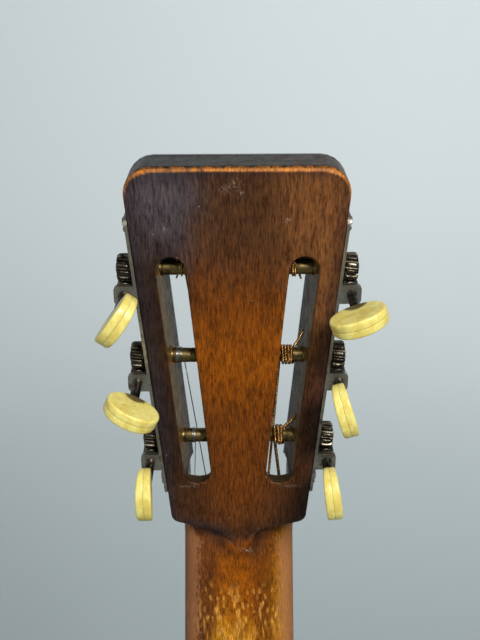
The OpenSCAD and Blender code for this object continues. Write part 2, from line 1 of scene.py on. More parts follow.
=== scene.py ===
import json
import math

import bpy
import numpy as np
from mathutils import Matrix, Vector


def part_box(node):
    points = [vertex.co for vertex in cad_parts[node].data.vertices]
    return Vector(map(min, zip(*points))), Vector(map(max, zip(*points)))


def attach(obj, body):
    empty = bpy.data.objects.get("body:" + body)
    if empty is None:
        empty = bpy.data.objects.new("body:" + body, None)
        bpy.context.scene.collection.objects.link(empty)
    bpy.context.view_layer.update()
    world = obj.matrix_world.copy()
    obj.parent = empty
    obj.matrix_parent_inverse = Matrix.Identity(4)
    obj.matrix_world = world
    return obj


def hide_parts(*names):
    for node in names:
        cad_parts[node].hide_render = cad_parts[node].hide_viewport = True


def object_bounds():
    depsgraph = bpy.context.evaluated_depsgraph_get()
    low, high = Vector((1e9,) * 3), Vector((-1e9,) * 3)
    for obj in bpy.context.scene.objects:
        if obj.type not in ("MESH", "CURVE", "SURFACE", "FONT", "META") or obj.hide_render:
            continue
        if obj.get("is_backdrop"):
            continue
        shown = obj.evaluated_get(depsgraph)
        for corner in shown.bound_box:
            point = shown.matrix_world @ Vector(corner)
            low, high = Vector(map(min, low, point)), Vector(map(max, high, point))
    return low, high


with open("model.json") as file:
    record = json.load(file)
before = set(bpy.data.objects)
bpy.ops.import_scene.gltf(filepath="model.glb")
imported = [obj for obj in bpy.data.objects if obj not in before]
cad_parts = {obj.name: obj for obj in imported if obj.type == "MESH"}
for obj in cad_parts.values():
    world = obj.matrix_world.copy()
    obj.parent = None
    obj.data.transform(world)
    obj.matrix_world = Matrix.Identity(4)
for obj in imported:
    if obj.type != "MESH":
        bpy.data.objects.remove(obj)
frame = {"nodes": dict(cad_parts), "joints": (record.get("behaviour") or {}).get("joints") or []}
cad_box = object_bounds()

# ---- Sizes. Shapes are worked out in millimetres in the row frame and turned into metres at the end. ----

MM = 0.001
STRINGS = ["low_e", "a", "d", "g", "b", "high_e"]
JOINTS = {joint["name"]: joint for joint in frame["joints"]}


def box_mm(node):
    """The lowest and highest corner of a CAD node, in millimetres."""
    low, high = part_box(node)
    return np.array(low) / MM, np.array(high) / MM


def joint_at(name):
    """Where a joint is, in millimetres."""
    return np.array(JOINTS[name]["pos_m"]) / MM


# The head's own frame: x across, n out of its back, u up along it, from the middle posts' axis
HEAD_N = np.array(JOINTS["button_turn_a"]["axis"])
HEAD_U = np.array([0.0, -HEAD_N[2], HEAD_N[1]])
HEAD_O = joint_at("post_turn_a") * [0, 1, 1]

HEAD_HALF_T = 8.0
HEAD_TOP = 73.4
HEAD_HALF_W = 32.7
FLARE = math.radians(5.0)
SHOULDER_U = -70.5
TONGUE_U = -85.0
SLOT_X, SLOT_TOP, SLOT_END = 20.15, 41.7, -52.5
SLOT_W, SLOT_FRONT_W = 10.5, 7.5
POST_R = 2.7

# Body and neck
TOP_Y = box_mm("bindings")[0][1]
TAIL_DEPTH = 96.0
SHOULDER_DEPTH = 84.0
BODY_LENGTH = box_mm("bass_side")[1][2]
BACK_SLOPE = (TAIL_DEPTH - SHOULDER_DEPTH) / BODY_LENGTH
NUT_Z = box_mm("nut")[0][2]
NUT_END_Z = box_mm("nut")[1][2]
NUT_W, HEEL_W = 45.0, 56.0
NECK_T, HEEL_T = 13.3, 17.0
HEEL_DEPTH = SHOULDER_DEPTH - 2.5
SIDE_T, PLATE_W, BINDING_H = 2.2, 2.6, 5.5
HOLE_Z, HOLE_R = 320.0, 44.0
NUT_SPACING, BRIDGE_SPACING = 7.6, 10.8
PIN_Z, SADDLE_Z, SADDLE_SLANT = 138.5, 153.0, 2.5


def side_x(u):
    """Half the head's width at a height."""
    return HEAD_HALF_W + u * math.tan(FLARE)


def from_head(x, n, u):
    """Points given in the head's frame, in the row frame."""
    x, n, u = np.broadcast_arrays(np.asarray(x, float), n, u)
    return HEAD_O + x[..., None] * [1, 0, 0] + n[..., None] * HEAD_N + u[..., None] * HEAD_U


def to_head(points):
    """Row frame points as x, n and u in the head's frame."""
    q = np.asarray(points) - HEAD_O
    return q[..., 0], q @ HEAD_N, q @ HEAD_U


# ---- Mesh building ----

def make_piece(name, vertices, faces, material, body="guitar", nodes=(), slot=None, colours=None,
               values=None):
    """A smooth mesh piece from points in millimetres, riding on a body and standing for CAD nodes."""
    mesh = bpy.data.meshes.new(name)
    mesh.from_pydata((np.asarray(vertices) * MM).tolist(), [], [list(map(int, face)) for face in faces])
    mesh.validate()
    mesh.shade_smooth()
    if colours is not None:
        layer = mesh.attributes.new("paint", "FLOAT_COLOR", "POINT")
        rgba = np.concatenate([colours, np.ones((len(colours), 1))], axis=1)
        layer.data.foreach_set("color", rgba.astype(np.float32).ravel())
    for key, value in (values or {}).items():
        layer = mesh.attributes.new(key, "FLOAT", "POINT")
        layer.data.foreach_set("value", np.asarray(value, np.float32))
    mesh.materials.append(material)
    piece = bpy.data.objects.new(name, mesh)
    bpy.context.scene.collection.objects.link(piece)
    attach(piece, body)
    if nodes:
        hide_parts(*nodes)
    return piece


def grid_faces(rows, columns, wrap_rows=False, wrap_columns=False):
    """Quads over a grid of points stored row by row."""
    i = np.arange(rows if wrap_rows else rows - 1)[:, None]
    j = np.arange(columns if wrap_columns else columns - 1)[None, :]
    i2, j2 = (i + 1) % rows, (j + 1) % columns
    corners = [i * columns + j, i * columns + j2, i2 * columns + j2, i2 * columns + j]
    return np.stack([np.broadcast_to(c, (len(i), j.size)).ravel() for c in corners], axis=1)


def ring_stack(rings):
    """A closed skin over rings of equal length, with its two ends closed by fans of their own points."""
    rings = np.asarray(rings)
    count, sides = rings.shape[:2]
    vertices = np.concatenate([rings.reshape(-1, 3), rings[0].mean(0)[None], rings[-1].mean(0)[None]])
    faces = grid_faces(count, sides, wrap_columns=True).tolist()
    first, last = count * sides, count * sides + 1
    faces += [[first, (k + 1) % sides, k] for k in range(sides)]
    start = (count - 1) * sides
    faces += [[last, start + k, start + (k + 1) % sides] for k in range(sides)]
    return vertices, faces


def lathe(origin, axis, across, profile, sides=48):
    """A turned shape: profile holds (distance along the axis, radius)."""
    axis, across = np.asarray(axis, float), np.asarray(across, float)
    third = np.cross(axis, across)
    turn = np.linspace(0, 2 * math.pi, sides, endpoint=False)
    circle = np.cos(turn)[:, None] * across + np.sin(turn)[:, None] * third
    return ring_stack([np.asarray(origin) + along * axis + radius * circle for along, radius in profile])


def rounded_profile(corners, radius, steps=4):
    """A lathe profile with its inner corners rounded to about the same radius."""
    points = [np.array(corner, float) for corner in corners]
    out = [points[0]]
    for before, here, after in zip(points, points[1:], points[2:]):
        a, b = before - here, after - here
        cut = min(radius, 0.45 * np.linalg.norm(a), 0.45 * np.linalg.norm(b))
        start, end = here + a / np.linalg.norm(a) * cut, here + b / np.linalg.norm(b) * cut
        for t in np.linspace(0, 1, steps + 1):
            out.append((1 - t) ** 2 * start + 2 * t * (1 - t) * here + t ** 2 * end)
    return out + [points[-1]]


def smooth_path(points, steps=8):
    """A Catmull-Rom curve through given points."""
    p = np.asarray(points, float)
    p = np.concatenate([[2 * p[0] - p[1]], p, [2 * p[-1] - p[-2]]])
    t = np.linspace(0, 1, steps, endpoint=False)[:, None]
    parts = [0.5 * (2 * b + (c - a) * t + (2 * a - 5 * b + 4 * c - d) * t ** 2
                    + (3 * b - a - 3 * c + d) * t ** 3)
             for a, b, c, d in zip(p, p[1:], p[2:], p[3:])]
    return np.concatenate(parts + [p[-2][None]])


def tube(path, radius, sides=12):
    """A round tube along a path, with its frame carried along without twist."""
    path = np.asarray(path, float)
    ahead = np.gradient(path, axis=0)
    ahead /= np.linalg.norm(ahead, axis=1)[:, None]
    across = np.cross(ahead[0], [0.3, 0.9, 0.2])
    turn = np.linspace(0, 2 * math.pi, sides, endpoint=False)
    radius = np.broadcast_to(radius, len(path))
    rings = []
    for point, direction, size in zip(path, ahead, radius):
        across = across - direction * (across @ direction)
        across /= np.linalg.norm(across)
        other = np.cross(direction, across)
        rings.append(point + size * (np.cos(turn)[:, None] * across + np.sin(turn)[:, None] * other))
    return ring_stack(rings)


def soften(node, width, material, segments=2, angle=32):
    """Gives a CAD node its material and takes the sharpness off its edges."""
    piece = frame["nodes"][node]
    piece.data.materials.clear()
    piece.data.materials.append(material)
    piece.data.polygons.foreach_set("use_smooth", [True] * len(piece.data.polygons))
    piece.modifiers.new("weld", "WELD").merge_threshold = 0.000005
    if width:
        flat = piece.modifiers.new("flat", "DECIMATE")
        flat.decimate_type = "DISSOLVE"
        flat.angle_limit = math.radians(0.5)
        bevel = piece.modifiers.new("bevel", "BEVEL")
        bevel.width = width * MM
        bevel.segments = segments
        bevel.angle_limit = math.radians(angle)
    shade = piece.modifiers.new("normals", "WEIGHTED_NORMAL")
    shade.keep_sharp = True
    return piece


# ---- Smooth random values, and distances that shapes are carved from ----

LATTICE = np.random.default_rng(7).random((32, 32, 32)).astype(np.float32)


def soft_noise(points, size, seed=0):
    """Value noise between 0 and 1; size is the millimetres between its random points along x, y and z."""
    q = np.asarray(points, np.float32) / np.asarray(size, np.float32) + seed * 7.31
    cell = np.floor(q).astype(int)
    t = q - cell
    t = t * t * (3 - 2 * t)
    total = 0
    for corner in range(8):
        step = np.array([corner & 1, corner >> 1 & 1, corner >> 2 & 1])
        weight = np.prod(np.where(step, t, 1 - t), axis=-1)
        a, b, c = ((cell[..., axis] + step[axis]) % 32 for axis in range(3))
        total = total + weight * LATTICE[a, b, c]
    return total


def ramp(value, low, high):
    """0 below low and 1 above high, turning smoothly; low may be above high."""
    t = np.clip((value - low) / (high - low), 0, 1)
    return t * t * (3 - 2 * t)


def round_max(a, b, radius):
    """The intersection of two solids, with the edge between them rounded."""
    corner = np.hypot(np.maximum(a + radius, 0), np.maximum(b + radius, 0))
    return np.minimum(np.maximum(a, b), -radius) + corner


def smooth_min(a, b, radius):
    """The union of two solids, with a fillet between them."""
    h = np.clip(0.5 + 0.5 * (b - a) / radius, 0, 1)
    return b * (1 - h) + a * h - radius * h * (1 - h)


def corner_arc(a, b, c, radius, count=8):
    """The corner b of the path a, b, c, rounded."""
    a, b, c = (np.array(p, float) for p in (a, b, c))
    u, v = (a - b) / np.linalg.norm(a - b), (c - b) / np.linalg.norm(c - b)
    half = math.acos(np.clip(u @ v, -1, 1)) / 2
    centre = b + (u + v) / np.linalg.norm(u + v) * radius / math.sin(half)
    start, end = b + u * radius / math.tan(half) - centre, b + v * radius / math.tan(half) - centre
    first = math.atan2(start[1], start[0])
    sweep = (math.atan2(end[1], end[0]) - first + math.pi) % (2 * math.pi) - math.pi
    turn = first + sweep * np.linspace(0, 1, count + 1)
    return [centre + radius * np.array([math.cos(t), math.sin(t)]) for t in turn]


def head_outline():
    """Half the outline of the head's back, from the top centre round to the tip of the tongue."""
    corners = [(0, HEAD_TOP), (side_x(HEAD_TOP), HEAD_TOP), (side_x(SHOULDER_U), SHOULDER_U),
               (8.6, -75.8), (1.5, TONGUE_U), (-1.5, TONGUE_U)]
    radii = [9.5, 4.0, 12.0, 1.4]
    points = [np.array(corners[0], float)]
    for k, radius in enumerate(radii):
        points += corner_arc(corners[k], corners[k + 1], corners[k + 2], radius)
    return np.array([p for p in points if p[0] >= 0] + [[0, points[-1][1]]])


class OutlineTable:
    """Distance to the head's outline, worked out once over a flat grid and looked up from there."""
    step = 0.25

    def __init__(self, outline):
        self.x = np.arange(-1, 46, self.step)
        self.u = np.arange(-110, 84, self.step)
        px, pu = np.meshgrid(self.x, self.u, indexing="ij")
        best = np.full(px.shape, 1e9)
        inside = np.zeros(px.shape, bool)
        for a, b in zip(outline, outline[1:]):
            edge = b - a
            t = np.clip(((px - a[0]) * edge[0] + (pu - a[1]) * edge[1]) / (edge @ edge), 0, 1)
            best = np.minimum(best, np.hypot(px - a[0] - t * edge[0], pu - a[1] - t * edge[1]))
            if abs(edge[1]) > 1e-9:
                reach = a[0] + (pu - a[1]) / edge[1] * edge[0]
                inside ^= ((a[1] > pu) != (b[1] > pu)) & (px < reach)
        self.table = np.where(inside, -best, best).astype(np.float32)

    def __call__(self, x, u):
        fx = np.clip((np.abs(x) - self.x[0]) / self.step, 0, len(self.x) - 1.001)
        fu = np.clip((u - self.u[0]) / self.step, 0, len(self.u) - 1.001)
        i, j = fx.astype(int), fu.astype(int)
        s, t = fx - i, fu - j
        table = self.table
        return ((1 - s) * (1 - t) * table[i, j] + s * (1 - t) * table[i + 1, j]
                + (1 - s) * t * table[i, j + 1] + s * t * table[i + 1, j + 1])


outline_distance = OutlineTable(head_outline())


def slot_distance(x, n, u):
    """Distance to the wall of a slot, negative in it: its outer wall and top end lean in toward the front."""
    along = (np.abs(x) - SLOT_X) * math.sin(FLARE) + u * math.cos(FLARE)
    across = (np.abs(x) - SLOT_X) * math.cos(FLARE) - u * math.sin(FLARE)
    narrow = (SLOT_W - SLOT_FRONT_W) * np.clip((HEAD_HALF_T - n) / (2 * HEAD_HALF_T), -0.1, 1.2)
    half = (SLOT_W - narrow) / 2
    top = SLOT_TOP - 2.4 * ramp(n, 7, -2) - 4.2 * ramp(n, -2.8, -6.5)
    past_end = np.maximum(np.maximum(along - top, SLOT_END - along) + half, 0)
    return np.hypot(past_end, across + SLOT_W / 2 - half) - half


def ramp_distance(x, n, u):
    """The run-out at the nut end of a slot, and the relief in the web for the innermost string."""
    ax = np.abs(x)
    slope = (n - 2.4) * 0.816 - (u + 52.3) * 0.578
    run_out = np.maximum(np.maximum(slope, -(u + 66)), np.maximum(8.2 - ax, ax - 19.6))
    run_out = np.maximum(run_out, u + 48.5)
    web = np.maximum((14.9 + (u - 12) * 0.15) - ax, n + 3.6)
    web = np.maximum(np.maximum(web, u - 12), np.maximum(-46 - u, ax - 17 - u * 0.08))
    return np.minimum(run_out, np.maximum(web, 8 - ax))


def heel_distance(x, y, z):
    """The heel, in the row frame, with its depth measured from the soundboard's plane."""
    depth = y - TOP_Y
    fore = np.clip(depth / HEEL_DEPTH, 0, 1)
    rise = 15 + 26 * (1 - fore) ** 2.2
    lift = np.clip((z - BODY_LENGTH) / rise, 0, 1)
    half = (28 - 15 * fore ** 0.9) * np.sqrt(np.maximum(1 - (lift * 0.94) ** 2.4, 0.02))
    walls = round_max(np.abs(x) - half, depth - HEEL_DEPTH, 1.2)
    return round_max(walls, z - BODY_LENGTH - rise, 3.0)


def neck_distance(points):
    """Negative inside the one carved piece that makes the head, the neck's shaft and the heel."""
    x, y, z = points[..., 0], points[..., 1], points[..., 2]
    _, n, u = to_head(points)
    run = np.clip((z - BODY_LENGTH) / (NUT_Z - BODY_LENGTH), 0, 1)
    half_w = HEEL_W / 2 + (NUT_W - HEEL_W) / 2 * run
    thick = HEEL_T + (NECK_T - HEEL_T) * run
    section = (np.abs(x / half_w) ** 2.15 + np.abs((y - TOP_Y) / thick) ** 2.15) ** (1 / 2.15)
    shaft = np.maximum((section - 1) * thick, z - NUT_END_Z - 1)
    heel = np.where(z < BODY_LENGTH + 60, heel_distance(x, y, z), 60.0)
    shaft = smooth_min(shaft, heel, 9.0)
    fade = np.clip((u + 97) / 24, 0, 1)
    hollow = 2.1 * fade ** 1.5 * np.exp(-((np.abs(x) - 12.5) / 8.5) ** 2) * ramp(u, -62, -70)
    shaft = shaft + hollow * ramp(n, -4, 2)
    wear = 0.8 + 0.5 * soft_noise(points, (9, 9, 14), 3)
    outline = outline_distance(x, u)
    worn = wear + 1.1 * ramp(u, 66, 71) * ramp(n, 3, 6) * ramp(np.abs(x), 37, 31)
    slab = round_max(outline, np.abs(n) - HEAD_HALF_T, worn)
    slab = slab + 2.2 * ramp(u, -72, -85) * ramp(n, 3, 8)
    cheek = np.maximum(np.abs(x) - (NUT_W / 2 + np.clip(u + 75, 0, 20) * 0.27), np.abs(n + 6.5) - 1.5)
    solid = smooth_min(slab, shaft, 1.2 + 2.6 * ramp(u, -80, -90))
    solid = np.minimum(solid, np.maximum(cheek, np.abs(u + 76.5) - 9.5))
    solid = round_max(solid, TOP_Y - y, 0.3)
    solid = np.maximum(solid, -(n + HEAD_HALF_T))
    solid = round_max(solid, -slot_distance(x, n, u), 0.7)
    solid = np.maximum(solid, -ramp_distance(x, n, u))
    for name in STRINGS:
        _, _, post_u = to_head(joint_at("post_turn_" + name))
        side = math.copysign(1, joint_at("post_turn_" + name)[0])
        bore = np.maximum(np.hypot(n, u - post_u) - POST_R - 0.12, 8 + 0.09 * post_u - side * x)
        solid = np.maximum(solid, -bore)
    shoulder = 123.34 - np.hypot(x, z - (BODY_LENGTH - 123.34))
    return np.maximum(solid, shoulder)


def surface_net(xs, ys, zs, field):
    """The zero surface of a field sampled on a grid, as quads (naive surface nets)."""
    inside = field < 0
    size = np.array(field.shape) - 1
    count = np.zeros(size, np.int8)
    corners = [(a, b, c) for a in (0, 1) for b in (0, 1) for c in (0, 1)]
    for a, b, c in corners:
        count += inside[a:size[0] + a, b:size[1] + b, c:size[2] + c]
    cells = np.argwhere((count > 0) & (count < 8))
    index = np.full(size, -1, np.int32)
    index[tuple(cells.T)] = np.arange(len(cells))
    total, hits = np.zeros((len(cells), 3)), np.zeros(len(cells))
    axes = (xs, ys, zs)
    for corner in corners:
        for axis in range(3):
            if corner[axis]:
                continue
            low = cells + corner
            high = low.copy()
            high[:, axis] += 1
            fa, fb = field[tuple(low.T)], field[tuple(high.T)]
            crossed = (fa < 0) != (fb < 0)
            t = np.where(crossed, fa / np.where(crossed, fa - fb, 1), 0)
            a = np.stack([axes[k][low[:, k]] for k in range(3)], 1)
            b = np.stack([axes[k][high[:, k]] for k in range(3)], 1)
            total += np.where(crossed[:, None], a + t[:, None] * (b - a), 0)
            hits += crossed
    vertices = total / hits[:, None]
    faces = []
    for axis in range(3):
        low = [slice(1, s) for s in size]
        low[axis] = slice(0, size[axis])
        high = list(low)
        high[axis] = slice(1, size[axis] + 1)
        before, after = inside[tuple(low)], inside[tuple(high)]
        edges = np.argwhere(before != after)
        flip = before[tuple(edges.T)]
        edges = edges + [0 if k == axis else 1 for k in range(3)]
        p, q = (axis + 1) % 3, (axis + 2) % 3
        quad = []
        for dp, dq in ((1, 1), (0, 1), (0, 0), (1, 0)):
            cell = edges.copy()
            cell[:, p] -= dp
            cell[:, q] -= dq
            quad.append(index[tuple(cell.T)])
        quad = np.stack(quad, 1)
        quad[~flip] = quad[~flip][:, ::-1]
        faces.append(quad)
    return vertices, np.concatenate(faces)


def slope_of(distance, points, step=0.06):
    """The gradient of a distance at many points."""
    return np.stack([(distance(points + step * e) - distance(points - step * e)) / (2 * step)
                     for e in np.eye(3)], axis=1)


def carve(distance, blocks, settle=2):
    """Meshes a distance over a grid that is filled block by block, and pulls each point onto the surface."""
    xs, ys, zs, parts = blocks
    field = np.full((len(xs), len(ys), len(zs)), 9.0, np.float32)
    for y_range, z_range in parts:
        j = np.flatnonzero((ys >= y_range[0]) & (ys <= y_range[1]))
        k = np.flatnonzero((zs >= z_range[0]) & (zs < z_range[1]))
        for chunk in np.array_split(k, max(1, len(k) // 40)):
            grid = np.stack(np.meshgrid(xs, ys[j], zs[chunk], indexing="ij"), axis=-1)
            field[:, j[0]:j[-1] + 1, chunk[0]:chunk[-1] + 1] = distance(grid)
    vertices, faces = surface_net(xs, ys, zs, field)
    for _ in range(settle):
        slope = slope_of(distance, vertices)
        length = np.maximum((slope ** 2).sum(1), 0.25)
        vertices -= np.clip(distance(vertices) / length, -0.4, 0.4)[:, None] * slope
    return vertices, faces


# ---- Materials: every one is built from noise in the piece's own coordinates ----

def tint(red, green, blue):
    """A colour given as it looks on a screen, as linear light."""
    values = (red / 255, green / 255, blue / 255)
    return tuple(v / 12.92 if v <= 0.04045 else ((v + 0.055) / 1.055) ** 2.4 for v in values)


class Shader:
    """Builds one procedural material node by node."""

    def __init__(self, name):
        self.material = bpy.data.materials.new(name)
        self.material.use_nodes = True
        self.tree = self.material.node_tree
        self.surface = next(node for node in self.tree.nodes if node.type == "BSDF_PRINCIPLED")
        self.place = self.tree.nodes.new("ShaderNodeTexCoord").outputs["Object"]

    def put(self, socket, value):
        if isinstance(value, bpy.types.NodeSocket):
            self.tree.links.new(value, socket)
        elif isinstance(value, tuple) and len(value) == 3 and socket.type == "RGBA":
            socket.default_value = (*value, 1)
        else:
            socket.default_value = value

    def add(self, kind, values, **settings):
        node = self.tree.nodes.new("ShaderNode" + kind)
        for key, value in settings.items():
            setattr(node, key, value)
        for key, value in values.items():
            self.put(node.inputs[key], value)
        return node

    def set(self, **values):
        for key, value in values.items():
            self.put(self.surface.inputs[key.replace("_", " ")], value)
        return self

    def scaled(self, size, turn=(0, 0, 0)):
        """Coordinates where 1 is the given number of millimetres along x, y and z."""
        turned = self.add("Mapping", {"Vector": self.place, "Rotation": turn}, vector_type="TEXTURE")
        sizes = tuple(1000 / s for s in size)
        return self.add("Mapping", {"Vector": turned.outputs[0], "Scale": sizes}).outputs[0]

    def noise(self, size, detail=2.0, rough=0.5, turn=(0, 0, 0), bend=0.0):
        size = size if isinstance(size, tuple) else (size, size, size)
        values = {"Vector": self.scaled(size, turn), "Scale": 1.0, "Detail": detail, "Roughness": rough,
                  "Distortion": bend}
        return self.add("TexNoise", values).outputs["Fac"]

    def cells(self, size, turn=(0, 0, 0)):
        size = size if isinstance(size, tuple) else (size, size, size)
        values = {"Vector": self.scaled(size, turn), "Scale": 1.0}
        return self.add("TexVoronoi", values, voronoi_dimensions="3D").outputs["Distance"]

    def step(self, value, low, high, out_low=0.0, out_high=1.0):
        """Turns a value between low and high into a smooth step."""
        values = {"Value": value, "From Min": low, "From Max": high, "To Min": out_low, "To Max": out_high}
        return self.add("MapRange", values, interpolation_type="SMOOTHSTEP").outputs[0]

    def math(self, operation, a, b=0.0):
        return self.add("Math", {0: a, 1: b}, operation=operation).outputs[0]

    def times(self, a, b):
        return self.math("MULTIPLY", a, b)

    def plus(self, a, b):
        return self.math("ADD", a, b)

    def shade(self, colour, factors):
        """A colour with its red, green and blue each scaled."""
        return self.mix(1.0, colour, factors, "MULTIPLY")

    def mix(self, amount, a, b, blend="MIX"):
        node = self.tree.nodes.new("ShaderNodeMix")
        node.data_type = "RGBA"
        node.blend_type = blend
        self.put(node.inputs[0], amount)
        self.put(node.inputs[6], a)
        self.put(node.inputs[7], b)
        return node.outputs[2]

    def attribute(self, name):
        return self.add("Attribute", {}, attribute_name=name)

    def bump(self, height, depth, before=None):
        """A bump whose full height is a depth in millimetres."""
        values = {"Height": height, "Distance": depth * MM, "Strength": 1.0}
        if before is not None:
            values["Normal"] = before
        return self.add("Bump", values).outputs[0]


HEAD_TILT = (math.atan2(HEAD_N[2], HEAD_N[1]), 0, 0)


def neck_wood():
    """Dark stained wood: the stain, with painted shade and a painted sheen in it, is painted on the mesh, and
    grain, chips and scratches are added here.
    """
    s = Shader("neck_wood")
    paint = s.attribute("paint").outputs["Color"]
    wear = s.attribute("wear").outputs["Fac"]
    end_face = s.attribute("end_face").outputs["Fac"]
    dash = s.noise((0.5, 0.9, 3.6), 4, 0.62, HEAD_TILT, 0.3)
    speckle = s.noise((0.3, 0.5, 0.9), 3, 0.6, HEAD_TILT)
    streak = s.noise((1.6, 2.4, 16), 4, 0.6, HEAD_TILT, 0.5)
    mottle = s.noise((5, 6, 8), 4, 0.65)
    colour = s.mix(s.step(dash, 0.45, 0.68, 0.0, 0.75), paint, s.shade(paint, (0.22, 0.17, 0.17)))
    colour = s.mix(s.step(dash, 0.46, 0.3, 0.0, 0.8), colour, s.shade(paint, (1.75, 1.55, 1.35)))
    colour = s.mix(s.step(speckle, 0.56, 0.7, 0.0, 0.5), colour, s.shade(paint, (0.3, 0.26, 0.25)))
    colour = s.mix(s.step(streak, 0.5, 0.68, 0.0, 0.5), colour, s.shade(colour, (0.55, 0.5, 0.5)))
    colour = s.mix(s.step(mottle, 0.5, 0.68, 0.0, 0.6), colour, s.shade(colour, (0.5, 0.45, 0.46)))
    rubbed = s.plus(wear, s.times(s.noise((0.9, 0.9, 2.2), 4, 0.65), 0.55))
    edge = s.step(rubbed, 0.52, 0.66)
    colour = s.mix(s.times(edge, 0.75), colour, tint(168, 112, 74))
    scratch = s.cells((2.1, 3.0, 34), HEAD_TILT)
    rare = s.step(s.noise(13, 2, 0.5), 0.52, 0.62)
    nick = s.times(s.step(scratch, 0.05, 0.02), rare)
    colour = s.mix(s.times(nick, 0.5), colour, tint(150, 112, 78))
    scuff = s.times(s.attribute("scuff").outputs["Fac"], s.step(s.noise((0.5, 0.6, 0.9), 4, 0.7), 0.5, 0.66))
    colour = s.mix(s.times(scuff, 0.8), colour, tint(186, 170, 150))
    chip = s.times(s.step(s.cells(2.6), 0.09, 0.06), s.step(s.noise(7, 3, 0.6), 0.58, 0.64))
    colour = s.mix(s.times(chip, 0.8), colour, tint(182, 158, 132))
    pit = s.times(s.step(s.cells((1.2, 1.2, 2.2)), 0.12, 0.05), s.step(mottle, 0.45, 0.6))
    colour = s.mix(s.times(pit, 0.7), colour, (0.006, 0.004, 0.003))
    soot = s.times(end_face, s.step(streak, 0.85, 0.35))
    colour = s.mix(soot, colour, s.mix(s.step(dash, 0.4, 0.6), tint(48, 45, 38), tint(14, 14, 14)))
    rough = s.step(s.plus(s.noise(4, 4, 0.65), s.times(edge, 0.4)), 0.3, 0.95, 0.32, 0.62)
    grain = s.bump(s.plus(speckle, s.times(dash, 1.6)), 0.07)
    dents = s.bump(s.plus(s.noise(2.4, 4, 0.6), s.times(chip, -1.0)), 0.14, grain)
    s.set(Base_Color=colour, Roughness=rough, Normal=dents, Coat_Weight=0.03, Coat_Roughness=0.3)
    s.set(Specular_IOR_Level=0.16)
    return s.material


def plain_wood(name, light, dark, line=(0.5, 30, 30), rough=0.45, coat=0.0, depth=0.05):
    """Straight-grained wood: line is the size of its grain along x, y and z."""
    s = Shader(name)
    fine = s.noise(line, 4, 0.62, bend=0.25)
    broad = s.noise(tuple(8 * v if v < 10 else v * 3 for v in line), 3, 0.5)
    pores = s.noise(tuple(v * 0.35 for v in line), 2, 0.5)
    colour = s.mix(s.step(fine, 0.3, 0.72), light, dark)
    warm = s.shade(colour, (0.72, 0.62, 0.52))
    colour = s.mix(s.step(broad, 0.35, 0.7, 0.0, 0.8), colour, warm)
    colour = s.mix(s.step(pores, 0.6, 0.7, 0.0, 0.3), colour, s.shade(dark, (0.4, 0.35, 0.3)))
    shine = s.step(s.noise(6, 3, 0.6), 0.3, 0.8, rough - 0.1, rough + 0.15)
    s.set(Base_Color=colour, Roughness=shine, Normal=s.bump(s.plus(fine, pores), depth))
    s.set(Coat_Weight=coat, Coat_Roughness=0.12)
    return s.material


def spruce():
    """Aged top: fine vertical lines, a darker burst toward the outline, and light worn spots."""
    s = Shader("spruce")
    line = s.noise((0.55, 20, 260), 3, 0.6, bend=0.15)
    silk = s.noise((14, 20, 5), 4, 0.6)
    edge = s.plus(s.attribute("inset").outputs["Fac"], s.times(s.noise(22, 3, 0.6), 26.0))
    colour = s.mix(s.step(line, 0.35, 0.68), tint(206, 150, 84), tint(160, 98, 44))
    colour = s.mix(s.step(silk, 0.45, 0.7, 0.0, 0.3), colour, tint(214, 164, 98))
    colour = s.mix(s.step(edge, 58, 16, 0.0, 0.93), colour, tint(58, 30, 18))
    chip = s.times(s.step(s.cells((3, 3, 9)), 0.1, 0.05), s.step(s.noise(24, 3, 0.6), 0.56, 0.64))
    colour = s.mix(chip, colour, tint(222, 186, 130))
    rough = s.step(s.noise(9, 4, 0.6), 0.3, 0.8, 0.25, 0.5)
    s.set(Base_Color=colour, Roughness=rough, Normal=s.bump(s.plus(line, silk), 0.05))
    s.set(Coat_Weight=0.3, Coat_Roughness=0.15)
    return s.material


def lacquer():
    """Black lacquer over the head's face, with fine brown scratches in cloudy patches."""
    s = Shader("head_veneer")
    scratch = s.step(s.cells((1.0, 6, 26), HEAD_TILT), 0.06, 0.02)
    cloud = s.noise(12, 4, 0.6)
    colour = s.mix(s.step(cloud, 0.4, 0.7), tint(30, 27, 26), tint(44, 38, 35))
    colour = s.mix(s.times(scratch, s.step(cloud, 0.45, 0.6, 0.0, 0.5)), colour, tint(96, 84, 72))
    rough = s.step(s.noise((3, 3, 9), 4, 0.65), 0.3, 0.8, 0.16, 0.4)
    s.set(Base_Color=colour, Roughness=rough, Normal=s.bump(s.noise((0.5, 2, 18), 3, 0.5), 0.03))
    s.set(Coat_Weight=0.5, Coat_Roughness=0.1)
    return s.material


def moulded(name, light, dark, rough=0.3, size=5.0, specks=0.25, glow=0.0, depth=0.02):
    """Plastic, bone or shell: cloudy colour and fine specks of dirt."""
    s = Shader(name)
    cloud = s.noise(size, 4, 0.6)
    colour = s.mix(s.step(cloud, 0.35, 0.7), light, dark)
    dirt = s.times(s.step(s.cells(1.6), 0.14, 0.06), s.step(s.noise(3.2, 3, 0.6), 0.5, 0.62))
    colour = s.mix(s.times(dirt, specks), colour, s.shade(dark, (0.3, 0.22, 0.14)))
    shine = s.step(s.noise(2.2, 4, 0.65), 0.3, 0.8, rough - 0.1, rough + 0.16)
    s.set(Base_Color=colour, Roughness=shine, Normal=s.bump(s.noise(0.9, 3, 0.6), depth))
    s.set(Subsurface_Weight=glow, Subsurface_Radius=(0.6, 0.45, 0.25), Subsurface_Scale=0.002)
    return s.material


